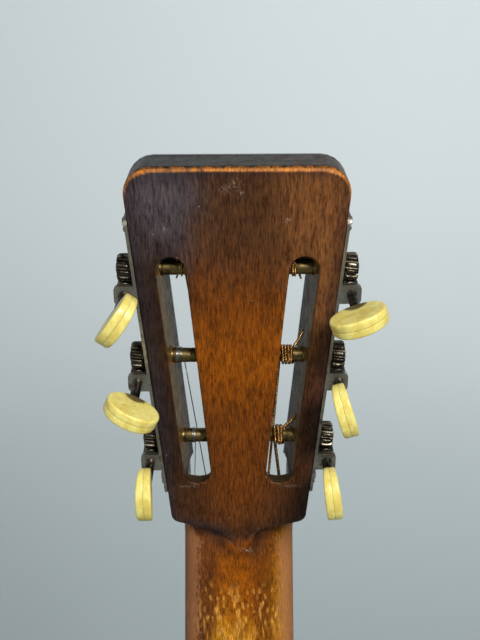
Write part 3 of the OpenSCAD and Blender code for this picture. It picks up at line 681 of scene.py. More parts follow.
def ivory_button():
    """Aged ivory-coloured plastic: cloudy, with dirt by the stem, pits and a dark line at the seam."""
    s = Shader("button_plastic")
    cloud = s.noise((4, 6, 6), 4, 0.62, bend=0.5)
    warm = s.noise(9, 3, 0.6)
    colour = s.mix(s.step(cloud, 0.36, 0.68), tint(246, 234, 140), tint(228, 206, 104))
    colour = s.mix(s.step(warm, 0.48, 0.75, 0.0, 0.4), colour, tint(206, 178, 88))
    grime = s.attribute("grime").outputs["Fac"]
    smear = s.plus(grime, s.times(s.noise(1.7, 4, 0.65), 0.5))
    colour = s.mix(s.step(smear, 0.58, 1.0, 0.0, 0.9), colour, tint(64, 46, 22))
    pit = s.times(s.step(s.cells(1.3), 0.13, 0.07), s.step(s.noise(4, 3, 0.6), 0.5, 0.6))
    colour = s.mix(s.times(pit, 0.8), colour, tint(84, 60, 30))
    rough = s.step(s.noise(1.6, 4, 0.65), 0.3, 0.8, 0.24, 0.5)
    dents = s.bump(s.math("SUBTRACT", s.noise(1.1, 4, 0.6), pit), 0.05)
    s.set(Base_Color=colour, Roughness=rough, Normal=dents)
    s.set(Subsurface_Weight=0.3, Subsurface_Radius=(0.6, 0.45, 0.2), Subsurface_Scale=0.0025)
    return s.material


def worn_metal(name, bright, dull, tarnish=0.5, rough=0.3, stretch=(1, 1, 1), size=1.0, depth=0.02):
    """Metal with brushed lines, tarnish in patches and small pits."""
    s = Shader(name)
    brushed = s.noise(tuple(0.12 * size * v for v in stretch), 3, 0.6)
    patch = s.noise(3.5 * size, 5, 0.65)
    colour = s.mix(s.step(brushed, 0.35, 0.7), bright, s.shade(bright, (0.72, 0.7, 0.68)))
    colour = s.mix(s.step(patch, 0.62 - tarnish * 0.3, 0.78 - tarnish * 0.2), colour, dull)
    pit = s.times(s.step(s.cells(0.8 * size), 0.16, 0.08), s.step(patch, 0.45, 0.6))
    colour = s.mix(s.times(pit, 0.75), colour, s.shade(dull, (0.3, 0.25, 0.2)))
    shine = s.plus(s.step(patch, 0.4, 0.75, 0.0, 0.3), s.step(brushed, 0.3, 0.7, rough, rough + 0.12))
    bumps = s.bump(s.plus(brushed, s.times(pit, -1.0)), depth)
    s.set(Base_Color=colour, Metallic=s.step(patch, 0.9, 0.6, 0.75, 1.0), Roughness=shine, Normal=bumps)
    return s.material


def wound_string(name, bright, dull):
    """A wound string: the winding's ridges come from a coordinate that runs along the wire."""
    s = Shader(name)
    along = s.attribute("along").outputs["Fac"]
    ridge = s.math("ABSOLUTE", s.math("SINE", s.times(along, math.pi / 0.28)))
    wound = s.attribute("wound").outputs["Fac"]
    patch = s.noise(4, 4, 0.6)
    colour = s.mix(s.step(ridge, 0.75, 0.1), bright, dull)
    colour = s.mix(s.step(patch, 0.45, 0.72, 0.0, 0.7), colour, dull)
    steel = s.mix(s.step(patch, 0.4, 0.75), tint(205, 202, 196), tint(120, 112, 102))
    colour = s.mix(wound, steel, colour)
    rough = s.step(s.noise(1.2, 3, 0.6), 0.3, 0.8, 0.22, 0.42)
    height = s.times(ridge, wound)
    s.set(Base_Color=colour, Metallic=1.0, Roughness=rough, Normal=s.bump(height, 0.1))
    return s.material


def rosette_rings():
    """Inlaid rings: light and dark lines at fixed distances from the sound hole's centre."""
    s = Shader("rosette")
    centre = s.add("VectorMath", {0: s.place, 1: (0, 0, HOLE_Z * MM)}, operation="SUBTRACT").outputs[0]
    flat = s.add("VectorMath", {0: centre, 1: (1000, 0, 1000)}, operation="MULTIPLY").outputs[0]
    radius = s.add("VectorMath", {0: flat}, operation="LENGTH").outputs["Value"]
    radius = s.plus(radius, s.times(s.noise(3, 2, 0.5), 0.12))
    colour = s.mix(s.step(s.noise((1.5, 1.5, 1.5), 3, 0.6), 0.3, 0.7), tint(70, 36, 20), tint(38, 20, 14))
    for ring, width in ((48.6, 0.5), (49.8, 0.35), (52.5, 1.3), (55.2, 0.35), (56.4, 0.5)):
        away = s.math("ABSOLUTE", s.math("SUBTRACT", radius, ring))
        colour = s.mix(s.step(away, width + 0.12, width - 0.12), colour, tint(214, 186, 134))
    rough = s.step(s.noise(5, 3, 0.6), 0.3, 0.8, 0.25, 0.42)
    s.set(Base_Color=colour, Roughness=rough, Normal=s.bump(s.noise(1.0, 3, 0.6), 0.03), Coat_Weight=0.3)
    return s.material


def pale_floor():
    """A pale floor with painted shade round the guitar, lighter where it rises behind it."""
    s = Shader("floor")
    cloud = s.noise(900, 2, 0.5)
    reach = s.add("VectorMath", {0: s.place}, operation="LENGTH").outputs["Value"]
    # Painted shade: the floor is darker within about 1.3 m of the guitar and lightens out to 4.6 m
    far = s.step(s.plus(reach, s.times(cloud, 0.3)), 1.3, 4.6)
    colour = s.mix(far, tint(150, 158, 160), tint(196, 201, 202))
    s.set(Base_Color=colour, Roughness=0.9, Specular_IOR_Level=0.1)
    return s.material


# ---- The neck, with the head and the heel ----

# The head's colour is seven stain colours and one painted sheen, laid out over the head's back and the neck:
# (x, u) and the colour there
BROWN, WALNUT, EBONY = (80, 50, 28), (74, 44, 22), (50, 32, 22)
CHESTNUT, RUSSET, AMBER = (114, 60, 10), (120, 76, 40), (150, 80, 5)
# The greyish purple colour at (27, 64) is a painted sheen of light at the head's top corner, not a stain
PAINTED_SHEEN, GOLD = (78, 70, 74), (212, 146, 30)
HEAD_STAIN_AND_SHEEN = [
    ((0, 66), BROWN), ((27, 64), PAINTED_SHEEN), ((-27, 64), RUSSET), ((0, 45), BROWN), ((0, 22), CHESTNUT),
    ((0, 4), AMBER), ((0, -28), CHESTNUT), ((33, 30), EBONY), ((-35, 30), RUSSET), ((29, -30), EBONY),
    ((-29, -30), WALNUT), ((0, -60), CHESTNUT), ((22, -64), WALNUT), ((-22, -64), WALNUT), ((0, -80), BROWN),
]
NECK_STAIN = [
    ((18, -110), CHESTNUT), ((0, -110), AMBER), ((-12, -110), CHESTNUT),
    ((-20.5, -112), GOLD), ((21.5, -112), RUSSET), ((1, -128), GOLD),
]
# Rubbed and chipped places on the head and neck: x, u and the reach of each, in the head's frame
SCUFFS = [(1.5, 67.5, 2.4, 1.2), (-1, 64.5, 1.0, 1.0), (4, 66.0, 1.6, 1.4), (-17, 55, 1.2, 0.8),
          (24, 52, 1.4, 0.8), (20.5, -53.6, 3.4, 0.6), (-20.5, -53.6, 3.4, 0.6), (-3, -86, 3.0, 0.8)]


def blend_anchor_colours(anchors, x, u, spread):
    """Colours at points, averaged from the anchors near them."""
    total, weights = 0, 1e-6
    for (ax, au), colour in anchors:
        weight = np.exp(-(((x - ax) / spread[0]) ** 2 + ((u - au) / spread[1]) ** 2))[:, None]
        total = total + weight * np.array(tint(*colour))
        weights = weights + weight
    return total / weights


def head_stain_and_shade(x, n, u, outline, facing, cloud, small):
    """The head's stain: darker toward its outline and olive on the slots' walls, with painted shade near
    black deep in the slots and a painted sheen at its top corner.
    """
    head = blend_anchor_colours(HEAD_STAIN_AND_SHEEN, x + 5 * cloud, u + 9 * small, (11, 17))
    rim = ramp(-outline + 3.5 * cloud + 2 * small, 6.5, 0.8)[:, None]
    dark = np.where((x > 0)[:, None], tint(50, 43, 45), tint(66, 42, 32))
    head = head + rim * 0.72 * (dark - head)
    inside = ramp(-outline, 2.0, 3.0) * ramp(facing, 0.6, 0.3)
    # Painted shade: the slots' walls darken toward the head's face and toward the slots' lower ends, where
    # shade falls deep in them; the olive is the walls' own colour
    deep = (0.3 + 0.7 * ramp(n, -8, 6)) * (1 - 0.75 * ramp(u, -42, -49))
    wall = deep[:, None] * tint(102, 80, 38)
    return head + (inside * 0.92)[:, None] * (wall - head)


def shaft_stain_and_shade(points, x, u, outline, cloud, small):
    """The neck's stain, darker toward the fretboard and with bare golden flecks; under the head's ledge it is
    a dark stain with painted shade over it.
    """
    low = np.maximum(u, -126)
    neck = blend_anchor_colours(NECK_STAIN, x + 1.2 * cloud, low + 9 * small, (5.5, 12))
    # Dark stain under the head's ledge, mixed with the painted shade that falls there
    near = ramp(outline + 3 * cloud, 10.5, 0.5) * ramp(np.abs(x), 2.5, 8)
    neck = neck + (near * 0.8)[:, None] * (np.array(tint(66, 44, 33)) - neck)
    back = ramp(points[:, 1] - TOP_Y, 4, 9)
    neck = neck * (0.55 + 0.45 * back)[:, None]
    flecks = soft_noise(points, (0.9, 0.9, 3), 6) + 0.25 * cloud + 0.14 * np.exp(-(x / 5) ** 2)
    gold = ramp(flecks, 0.72, 0.8) * ramp(u, -98, -108)
    neck = neck + (0.75 * gold)[:, None] * (np.array(tint(222, 158, 66)) - neck)
    # Painted shade: a band of the neck just under the head's ledge is darkened
    under = ramp(outline, 0.3, 1.2) * ramp(outline, 9, 2) * ramp(u, -70, -74)
    return neck - (0.45 * under)[:, None] * neck


def neck_paint(points, normals):
    """The stain at each point of the neck, with its painted shade and painted sheen, how far it is on the
    blackened end face, and how scuffed it is.
    """
    x, n, u = to_head(points)
    cloud = soft_noise(points, (8, 8, 14), 1) - 0.5
    small = soft_noise(points, (2.2, 2.2, 5), 2) - 0.5
    outline = outline_distance(x, u)
    facing = normals @ HEAD_N
    head = head_stain_and_shade(x, n, u, outline, facing, cloud, small)
    neck = shaft_stain_and_shade(points, x, u, outline, cloud, small)
    tip = ramp(u + 4 * small, -76, -90)
    on_neck = np.maximum(ramp(outline, 0.0, 0.9), tip)[:, None] * ramp(u, -66, -71)[:, None]
    colour = head + on_neck * (neck - head)
    outward = normals @ HEAD_U + 0.55 * np.abs(normals[:, 0]) * ramp(u, 48, 66)
    worn = ramp(outward, 0.16, 0.4) * ramp(facing, 0.12, 0.42) * ramp(u, 46, 62)
    worn = worn * (0.7 + 0.8 * cloud + 0.8 * small)
    colour = colour + np.clip(worn, 0, 1)[:, None] * (np.array(tint(206, 128, 46)) - colour)
    end = ramp(normals @ HEAD_U, 0.62, 0.86) * ramp(u, 66, 71)
    scuff = 0 * x
    for sx, su, wide, tall in SCUFFS:
        scuff = np.maximum(scuff, np.exp(-((x - sx) / wide) ** 2 - ((u - su) / tall) ** 2))
    return colour, end, scuff * ramp(facing, 0.2, 0.6)


def build_neck():
    step = 0.58
    low, high = box_mm("neck")
    foot = BODY_LENGTH - 28
    head_foot = NUT_Z - 34
    zs = np.concatenate([np.arange(foot, BODY_LENGTH + 62, 1.2), np.arange(BODY_LENGTH + 62, head_foot, 3.5),
                         np.arange(head_foot, high[2] + 2, step)])
    xs = np.arange(low[0] - 1.6, high[0] + 1.7, step)
    ys = np.arange(TOP_Y - 3.7, high[1] + 2, step)
    blocks = [((-99, 99), (foot, BODY_LENGTH + 62)), ((-99, -20), (BODY_LENGTH + 62, head_foot)),
              ((-99, 8), (head_foot, 2000))]
    vertices, faces = carve(neck_distance, (xs, ys, zs, blocks), 3)
    slope = slope_of(neck_distance, vertices)
    normals = slope / np.maximum(np.linalg.norm(slope, axis=1), 0.05)[:, None]
    reach = 0.9
    wear = np.clip((neck_distance(vertices - reach * normals) + reach) / reach, 0, 1)
    colours, end, scuff = neck_paint(vertices, normals)
    values = {"wear": np.clip(1.5 * wear, 0, 1), "end_face": end, "scuff": scuff}
    make_piece("neck_carving", vertices, faces, neck_wood(), nodes=["neck"], slot="neck_wood",
               colours=colours, values=values)


# ---- Tuners ----

BUTTON_TURN = {"low_e": -82, "a": -73, "d": 20, "g": 54, "b": -27, "high_e": 90}
BUTTON_LONG, BUTTON_DEEP, BUTTON_N = 19.5, 16.4, 28.0
WHEEL_TEETH, WHEEL_W, WHEEL_TIP, WHEEL_ROOT = 12, 4.8, 5.15, 3.75
PITCH_R = 4.6
WORM_PITCH = 2 * math.pi * PITCH_R / WHEEL_TEETH
WORM_CORE, WORM_TIP = 2.1, 3.3
SHAFT_R, TANG_R = 1.8, 1.2
LUG_IN = 5.8
BUTTON_NEAR_T, BUTTON_FAR_T = 3.4, 5.9
WIRE = {"low_e": 1.32, "a": 1.07, "d": 0.81, "g": 0.61, "b": 0.41, "high_e": 0.30}
WOUND = ("low_e", "a", "d", "g")
WIND_X = {"low_e": 14.9, "a": 17.65, "d": 19.9, "g": 19.7, "b": 21.6, "high_e": 17.1}
TURNS = {"low_e": 3, "a": 4, "d": 3, "g": 2, "b": 5, "high_e": 4}


def build_button(string, material):
    """A flat oval of two halves pressed together, thicker at its far end."""
    wx, _, wu = to_head(joint_at("button_turn_" + string))
    turn = math.radians(BUTTON_TURN[string])
    across = np.array([1, 0, 0]) * math.cos(turn) - HEAD_U * math.sin(turn)
    thick = np.array([1, 0, 0]) * math.sin(turn) + HEAD_U * math.cos(turn)
    centre = from_head(wx, BUTTON_N, wu)
    profile = [(9.0, 1.0), (6.0, 1.0), (3.0, 1.0), (1.2, 1.0), (0.55, 0.99), (0.3, 0.95), (0.14, 0.88),
               (0.04, 0.78), (0.0, 0.64), (0.0, 0.3), (0.0, 0.1), (0.04, 0.045), (0.14, 0.0)]
    profile = profile + [(inset, -height) for inset, height in profile[-2::-1]]
    phi = np.linspace(0, 2 * math.pi, 72, endpoint=False)
    c, s = np.cos(phi), np.sin(phi)
    round_off = (np.abs(c) ** 2.15 + np.abs(s) ** 2.15) ** (-1 / 2.15)
    rings, grime = [], []
    for inset, height in profile:
        scale = max(0.02, 1 - inset / 9.05)
        long = (BUTTON_LONG / 2 * scale + 0.1 * (1 - scale)) * c * round_off
        deep = (BUTTON_DEEP / 2 * scale + 0.1 * (1 - scale)) * s * round_off
        half = (BUTTON_NEAR_T + (BUTTON_FAR_T - BUTTON_NEAR_T) * (deep / BUTTON_DEEP + 0.5)) / 2
        flat = centre + long[:, None] * across + deep[:, None] * HEAD_N
        rings.append(flat + (half * height)[:, None] * thick)
        near_stem = ramp(np.hypot(long, (deep + 8.4) * 0.9), 7.5, 1.5)
        seam = 0.62 * ramp(abs(height), 0.1, 0.0) + 0.0 * phi
        grime.append(np.maximum(near_stem, seam))
    vertices, faces = ring_stack(rings)
    values = {"grime": np.concatenate([np.concatenate(grime), [0, 0]])}
    make_piece("button_oval_" + string, vertices, faces, material, "worm_" + string,
               ["button_" + string], "button_plastic", values=values)


def build_worm(string, material):
    """The worm with its shaft, running through both lugs into the button."""
    wx, _, wu = to_head(joint_at("button_turn_" + string))
    centre = from_head(wx, 0, wu)
    ends = rounded_profile([(-8.6, 0.2), (-8.6, SHAFT_R), (-LUG_IN - 0.05, SHAFT_R)], 0.4, 3)
    thread = np.arange(-5.65, 5.66, 0.14)
    stem = rounded_profile([(LUG_IN, SHAFT_R), (19.7, SHAFT_R), (20.6, TANG_R + 0.3), (21.4, TANG_R),
                            (29.9, TANG_R), (29.9, 0.2)], 0.3, 3)
    turn = np.linspace(0, 2 * math.pi, 48, endpoint=False)
    circle = np.sin(turn)[:, None] * np.array([1, 0, 0]) + np.cos(turn)[:, None] * HEAD_U
    rings = [centre + n * HEAD_N + r * circle for n, r in ends]
    for n in thread:
        phase = (n / WORM_PITCH + 1.5 - turn / (2 * math.pi) + 0.5) % 1 - 0.5
        rise = ramp(np.abs(phase) * WORM_PITCH, 0.66, 0.24) * ramp(abs(n), 4.75, 4.3)
        end = 0.3 * ramp(abs(n), 5.35, 5.65)
        radius = WORM_CORE - end + (WORM_TIP - WORM_CORE) * rise
        rings.append(centre + n * HEAD_N + radius[:, None] * circle)
    rings += [centre + n * HEAD_N + r * circle for n, r in stem]
    vertices, faces = ring_stack(rings)
    make_piece("worm_screw_" + string, vertices, faces, material, "worm_" + string,
               ["worm_" + string], "worm_metal")


def build_wheel(string, material):
    """The wheel that meshes with the worm: slanted teeth and bevelled ends."""
    wx, _, _ = to_head(joint_at("button_turn_" + string))
    _, _, pu = to_head(joint_at("post_turn_" + string))
    twist = WHEEL_W * (WORM_PITCH / (2 * math.pi * 3)) / PITCH_R
    turn = np.linspace(0, 2 * math.pi, WHEEL_TEETH * 14, endpoint=False)
    half = WHEEL_W / 2

    def ring(along, limit, toothed=True):
        angle = turn + twist * along / WHEEL_W
        away = np.abs((turn * WHEEL_TEETH / (2 * math.pi) + 0.5) % 1 - 0.5) * 360 / WHEEL_TEETH
        radius = WHEEL_ROOT + (WHEEL_TIP - WHEEL_ROOT) * ramp(away, 11.0, 4.2) if toothed else limit
        radius = np.minimum(radius, limit) + 0 * turn
        return from_head(wx + along, radius * np.sin(angle), pu - radius * np.cos(angle))

    stack = [ring(-half, 2.1, False), ring(-half, 3.2, False), ring(-half, 3.6, False), ring(-half, 4.45)]
    stack += [ring(a, limit) for a, limit in zip((-2.3, -2.05, -1.7, -0.9, 0, 0.9, 1.7, 2.05, 2.3),
                                                (4.6, 4.85, 5.1, 6, 6, 6, 5.1, 4.85, 4.6))]
    stack += [ring(half, 4.45), ring(half, 3.6, False), ring(half, 3.2, False), ring(half, 2.1, False)]
    vertices, faces = ring_stack(stack)
    make_piece("wheel_gear_" + string, vertices, faces, material, "post_" + string,
               ["wheel_" + string], "wheel_metal")


def build_wheel_screw(string, material):
    """The screw that holds the wheel: a low dome with a slot across it."""
    wx, _, _ = to_head(joint_at("button_turn_" + string))
    _, _, pu = to_head(joint_at("post_turn_" + string))
    side = math.copysign(1, wx)
    angle = {"low_e": 0.5, "a": 1.9, "d": 2.6, "g": 0.2, "b": 1.2, "high_e": 2.2}[string]
    face = abs(wx) + WHEEL_W / 2

    def distance(points):
        x, n, u = to_head(points)
        out, u = side * x - face, u - pu
        ball = np.sqrt((out + 4.6) ** 2 + n ** 2 + u ** 2) - 5.38
        cap = round_max(round_max(ball, np.hypot(n, u) - 2.7, 0.3), -out + 0.0, 0.1)
        shank = round_max(np.hypot(n, u) - 1.1, np.abs(out + 2.2) - 2.3, 0.1)
        slot = np.maximum(np.abs(n * math.cos(angle) + u * math.sin(angle)) - 0.36, 0.12 - out)
        return np.maximum(np.minimum(cap, shank), -slot)

    middle = from_head(side * face, 0, pu)
    step = 0.2
    xs = middle[0] + np.arange(-5.2, 5.21, step)
    ys = middle[1] + np.arange(-3.4, 3.41, step)
    zs = middle[2] + np.arange(-3.4, 3.41, step)
    vertices, faces = carve(distance, (xs, ys, zs, [((-999, 999), (-999, 9999))]))
    make_piece("wheel_fixing_" + string, vertices, faces, material, "post_" + string,
               ["wheel_screw_" + string], "screw_metal")


def hole_x(string):
    return WIND_X[string] + TURNS[string] * WIRE[string] / 2 + 1


def build_post(string, material):
    """The string post: a plain barrel with its string hole, stepped down where the wheel sits."""
    px = joint_at("button_turn_" + string)[0]
    _, _, pu = to_head(joint_at("post_turn_" + string))
    side = math.copysign(1, px)
    wall = SLOT_X - SLOT_W / 2 + pu * math.tan(FLARE)
    start, shoulder = wall - 6.5, abs(px) - WHEEL_W / 2

    def distance(points):
        x, n, u = to_head(points)
        along, radius = side * x, np.hypot(n, u - pu)
        groove = 0.1 * ramp(np.abs((along - start) % 6.2 - 3.1), 0.35, 0.1)
        barrel = round_max(radius - POST_R + groove, np.maximum(start - along, along - shoulder), 0.35)
        neck = np.maximum(radius - 1.95, np.maximum(shoulder - 1 - along, along - shoulder - WHEEL_W))
        hole = np.hypot(along - hole_x(string), n) - 0.8
        return round_max(np.minimum(barrel, neck), -hole, 0.15)

    middle = from_head(0, 0, pu)
    step = 0.33
    xs = side * np.arange(start - 1, shoulder + WHEEL_W + 1, step)
    ys, zs = middle[1] + np.arange(-3.6, 3.61, step), middle[2] + np.arange(-3.6, 3.61, step)
    vertices, faces = carve(distance, (np.sort(xs), ys, zs, [((-999, 999), (-999, 9999))]))
    make_piece("post_barrel_" + string, vertices, faces, material, "post_" + string,
               ["post_" + string], "post_metal")


def leave_point(string):
    """Where the straight string meets the turns on its post, in the head's frame, and its angle there."""
    wire = WIRE[string]
    side = math.copysign(1, joint_at("button_turn_" + string)[0])
    _, _, pu = to_head(joint_at("post_turn_" + string))
    _, rest_n, rest_u = to_head(string_rest(string))
    radius = POST_R + wire * 1.5 + 0.12
    reach = math.hypot(rest_n, rest_u - pu)
    angle = math.atan2(rest_u - pu, rest_n) - math.acos(radius / reach)
    x = side * (WIND_X[string] - (TURNS[string] - 1) * wire / 2)
    return (x, radius * math.cos(angle), pu + radius * math.sin(angle)), angle


def string_rest(string):
    """Where a string leaves the nut, in the row frame."""
    number = STRINGS.index(string)
    return np.array([(number - 2.5) * NUT_SPACING, -55.0 - WIRE[string] / 2, NUT_END_Z])


# How each string's tail leaves its post: up the head or down it, its length, and how far it leans out
TAILS = {"low_e": (1, 9.4, 4.2), "a": (1, 10.2, 3.2), "d": (-1, 4.4, 0.6), "g": (-1, 3.9, 0.5),
         "b": (1, 4.9, 1.0), "high_e": (1, 7.0, 1.2)}


def build_coil(string, material):
    """The string's turns on its post, ending through the post's hole in a cut tail."""
    wire = WIRE[string]
    (x, _, _), angle = leave_point(string)
    side = math.copysign(1, x)
    _, _, pu = to_head(joint_at("post_turn_" + string))
    radius = POST_R + wire / 2 + 0.04
    up, length, lean = TAILS[string]
    last = -up * math.pi / 2 - 2 * math.pi * TURNS[string]
    while last > angle - 2 * math.pi * (TURNS[string] - 0.9):
        last -= 2 * math.pi
    turn = np.arange(angle, last + 0.75, -0.16)
    rise = (angle - turn) / (2 * math.pi)
    out = np.abs(x) + np.minimum(rise * wire * 1.04, hole_x(string) - abs(x) - wire)
    hx = hole_x(string)
    end = out[-1]
    path = [from_head(side * o, radius * math.cos(t), pu + radius * math.sin(t)) for o, t in zip(out, turn)]
    more = [(end + (hx - end) * 0.5, 0.75 * math.cos(last + 0.42), 0.98 * math.sin(last + 0.42)),
            (hx, 0.12 * math.cos(last + 0.3), 0.82 * math.sin(last)), (hx, 0, 0.3 * math.sin(last)),
            (hx, 0, -0.5 * math.sin(last)), (hx + 0.1, 0, -1.05 * math.sin(last))]
    tail = [from_head(side * a, radius * b, pu + radius * c) for a, b, c in more]
    for part in (0.45, 0.75, 1.0):
        tail_u = pu + up * (POST_R + (length - POST_R) * part)
        tail.append(from_head(side * (hx + lean * part), 0.8 * part, tail_u))
    tail = smooth_path([path[-1]] + tail, 5)
    path = np.concatenate([path, tail[1:]])
    size = np.full(len(path), wire / 2)
    make_wire("coil_" + string, path, size, string, "post_" + string, material, [])


def make_wire(name, path, size, string, body, material, nodes):
    sides = 16
    vertices, faces = tube(path, size, sides)
    run = np.concatenate([[0], np.cumsum(np.linalg.norm(np.diff(path, axis=0), axis=1))])
    along = np.concatenate([np.repeat(run, sides), [run[0], run[-1]]])
    wound = np.full(len(vertices), 1.0 if string in WOUND else 0.0)
    make_piece(name, vertices, faces, material, body, nodes, "string_metal",
               values={"along": along, "wound": wound})


def build_string(string, material, nodes):
    """A straight string: out of the bridge, over the saddle and the nut, and on to its post."""
    number = STRINGS.index(string)
    wire = WIRE[string]
    x = (number - 2.5) * BRIDGE_SPACING
    saddle_z = SADDLE_Z + x * math.tan(math.radians(SADDLE_SLANT))
    edge = PIN_Z + 2.05
    top = -56.0 - wire / 2
    leave, _ = leave_point(string)
    rest = string_rest(string)
    corners = [(x, TOP_Y + 9, edge), (x, top, edge), (x, -58.4 - wire / 2, saddle_z),
               rest - [0, 0, 5.0], rest, from_head(*leave)]
    path = np.array(rounded_profile(corners, 1.6, 5))
    size = np.full(len(path), wire / 2)
    make_wire("string_" + string, path, size, string, "guitar", material, nodes)


# ---- Body ----

def arc(centre_x, centre_z, radius, start, end, count):
    turn = np.linspace(start, end, count)
    return np.stack([centre_x + radius * np.cos(turn), centre_z + radius * np.sin(turn)], axis=1)


def half_outline(inset):
    """The treble half of the body's outline, tail to shoulder: five arcs that run into one another."""
    low_x, low_z, low_r = 47.0, 125.0, 118.0
    tail_r = (low_x ** 2 + low_z ** 2 - low_r ** 2) / (2 * (low_z - low_r))
    waist_x, waist_z = 97.5, 280.0
    gap = waist_x - low_x
    waist_r = (gap ** 2 + (waist_z - low_z) ** 2 - low_r ** 2) / (2 * (low_r - gap))
    up_x, up_r = 32.5, 85.0
    up_z = waist_z + math.sqrt((waist_r + up_r) ** 2 - (waist_x + waist_r - up_x) ** 2)
    drop = BODY_LENGTH - up_z
    top_r = (up_x ** 2 + drop ** 2 - up_r ** 2) / (2 * (drop - up_r))
    tail_turn = math.atan2(low_z - tail_r, low_x)
    low_turn = math.atan2(waist_z - low_z, waist_x + waist_r - low_x)
    waist_turn = math.atan2(up_z - waist_z, up_x - waist_x - waist_r)
    up_turn = math.atan2(up_z - (BODY_LENGTH - top_r), up_x)
    parts = [arc(0, tail_r, tail_r - inset, -math.pi / 2, tail_turn, 14),
             arc(low_x, low_z, low_r - inset, tail_turn, low_turn, 44),
             arc(waist_x + waist_r, waist_z, waist_r + inset, low_turn + math.pi, waist_turn, 26),
             arc(up_x, up_z, up_r - inset, waist_turn - math.pi, up_turn, 34),
             arc(0, BODY_LENGTH - top_r, top_r - inset, up_turn, math.pi / 2, 14)]
    return np.concatenate([parts[0]] + [part[1:] for part in parts[1:]])


def outline(inset):
    """The whole outline, from the tail up the treble side and down the bass side."""
    half = half_outline(inset)
    return np.concatenate([half, half[-2:0:-1] * [-1, 1]])


def back_y(z, under=0.0):
    """The back's height above a point, or of a layer so far under it."""
    return TOP_Y + TAIL_DEPTH - BACK_SLOPE * np.asarray(z) - under


def band(rows, closed=True):
    """A solid strip: rows is a list of lines of points that run round its section."""
    rows = np.stack(rows, axis=1)
    if closed:
        return rows.reshape(-1, 3), grid_faces(len(rows), rows.shape[1], True, True)
    return ring_stack(rows)


def lift(flat, y):
    """Outline points with a height."""
    return np.stack([flat[:, 0], np.broadcast_to(y, len(flat)), flat[:, 1]], axis=1)


def section(outer, inner, low, high, cut=0.25):
    """A strip's section with its four corners cut: outlines at each inset, heights from low to high."""
    mid_out, mid_in = outer + (inner - outer) * 0.12, inner + (outer - inner) * 0.12
    return [lift(outer, low + cut), lift(outer, (low + high) / 2), lift(outer, high - cut),
            lift(mid_out, high), lift(mid_in, high), lift(inner, high - cut), lift(inner, low + cut),
            lift(mid_in, low),
            lift(mid_out, low)]


def build_sides(material):
    for name, side in (("bass_side", -1), ("treble_side", 1)):
        outer, inner = half_outline(0) * [side, 1], half_outline(SIDE_T) * [side, 1]
        outer, inner = outer[1:-1], inner[1:-1]
        keep = np.abs(outer[:, 0]) > 0.1
        outer, inner = outer[keep], inner[keep]
        low = np.full(len(outer), TOP_Y + BINDING_H)
        vertices, faces = band(section(outer, inner, low, back_y(outer[:, 1], BINDING_H), 0.1), closed=False)
        make_piece(name + "_skin", vertices, faces, material, nodes=[name], slot="body_wood")


def build_bindings(material):
    outer, inner = outline(0), outline(SIDE_T)
    low = np.full(len(outer), TOP_Y)
    top = band(section(outer, inner, low, low + BINDING_H, 0.45))
    make_piece("top_binding", *top, material, nodes=["bindings"], slot="binding")
    high = back_y(outer[:, 1])
    back = band(section(outer, inner, high - BINDING_H, high, 0.45))
    make_piece("back_binding", *back, material, nodes=["bindings"], slot="binding")


def disc_rings(edge, middle, count, hole=0.0):
    """Lines of points from an outline in to a middle point, or to a round hole about it."""
    away = edge - middle
    reach = np.linalg.norm(away, axis=1)[:, None]
    stop = middle + away / reach * hole
    return [edge + (stop - edge) * t for t in np.linspace(0, 1, count)]


def build_soundboard(material):
    """The top, from its outline in to the sound hole, with each point's inset from the outline."""
    edge = outline(SIDE_T)
    flat = disc_rings(edge, np.array([0, HOLE_Z]), 22, HOLE_R)
    rings = [lift(line, TOP_Y) for line in flat] + [lift(line, TOP_Y + PLATE_W) for line in flat[::-1]]
    inset = np.concatenate([np.linalg.norm(line - edge, axis=1) for line in flat + flat[::-1]])
    vertices = np.concatenate(rings)
    faces = grid_faces(len(rings), len(edge), True, True)
    make_piece("soundboard_plate", vertices, faces, material, nodes=["soundboard"], slot="spruce",
               values={"inset": inset})


def build_back(material):
    edge = outline(SIDE_T)
    flat = disc_rings(edge, np.array([0, 200.0]), 22, 4.0)
    inside = [lift(line, back_y(line[:, 1], PLATE_W)) for line in flat[::-1]]
    outside = [lift(line, back_y(line[:, 1])) for line in flat]
    vertices, faces = ring_stack(inside + outside)
    make_piece("back_panel", vertices, faces, material, nodes=["back_plate"], slot="body_wood")


def build_rosette(material):
    turn = np.linspace(0, 2 * math.pi, 144, endpoint=False)
    circle = np.stack([np.cos(turn), 0 * turn, np.sin(turn)], axis=1)
    low, high = box_mm("rosette")
    centre = np.array([0, 0, HOLE_Z])
    rows = [(48.0, high[1]), (48.0, low[1] + 0.03), (48.1, low[1]), (50, low[1]), (52.5, low[1]),
            (55, low[1]), (56.9, low[1]), (57.0, low[1] + 0.03), (57.0, high[1])]
    vertices = np.concatenate([centre + radius * circle + [0, y, 0] for radius, y in rows])
    faces = grid_faces(len(rows), len(turn), True, True)
    make_piece("rosette_inlay", vertices, faces, material, nodes=["rosette"], slot="rosette")


def build_end_pin(material):
    profile = rounded_profile([(-14.8, 0.2), (-14.8, 3.9), (0.0, 4.2), (0.0, 5.5), (2.5, 5.4), (3.4, 3.6),
                               (8.0, 3.6), (8.6, 5.2), (11.0, 5.5), (13.3, 4.2), (13.5, 0.2)], 1.1, 5)
    vertices, faces = lathe((0, 0, 0), (0, 0, -1), (1, 0, 0), profile, 56)
    make_piece("end_pin_turning", vertices, faces, material, nodes=["end_pin"], slot="pin_plastic")


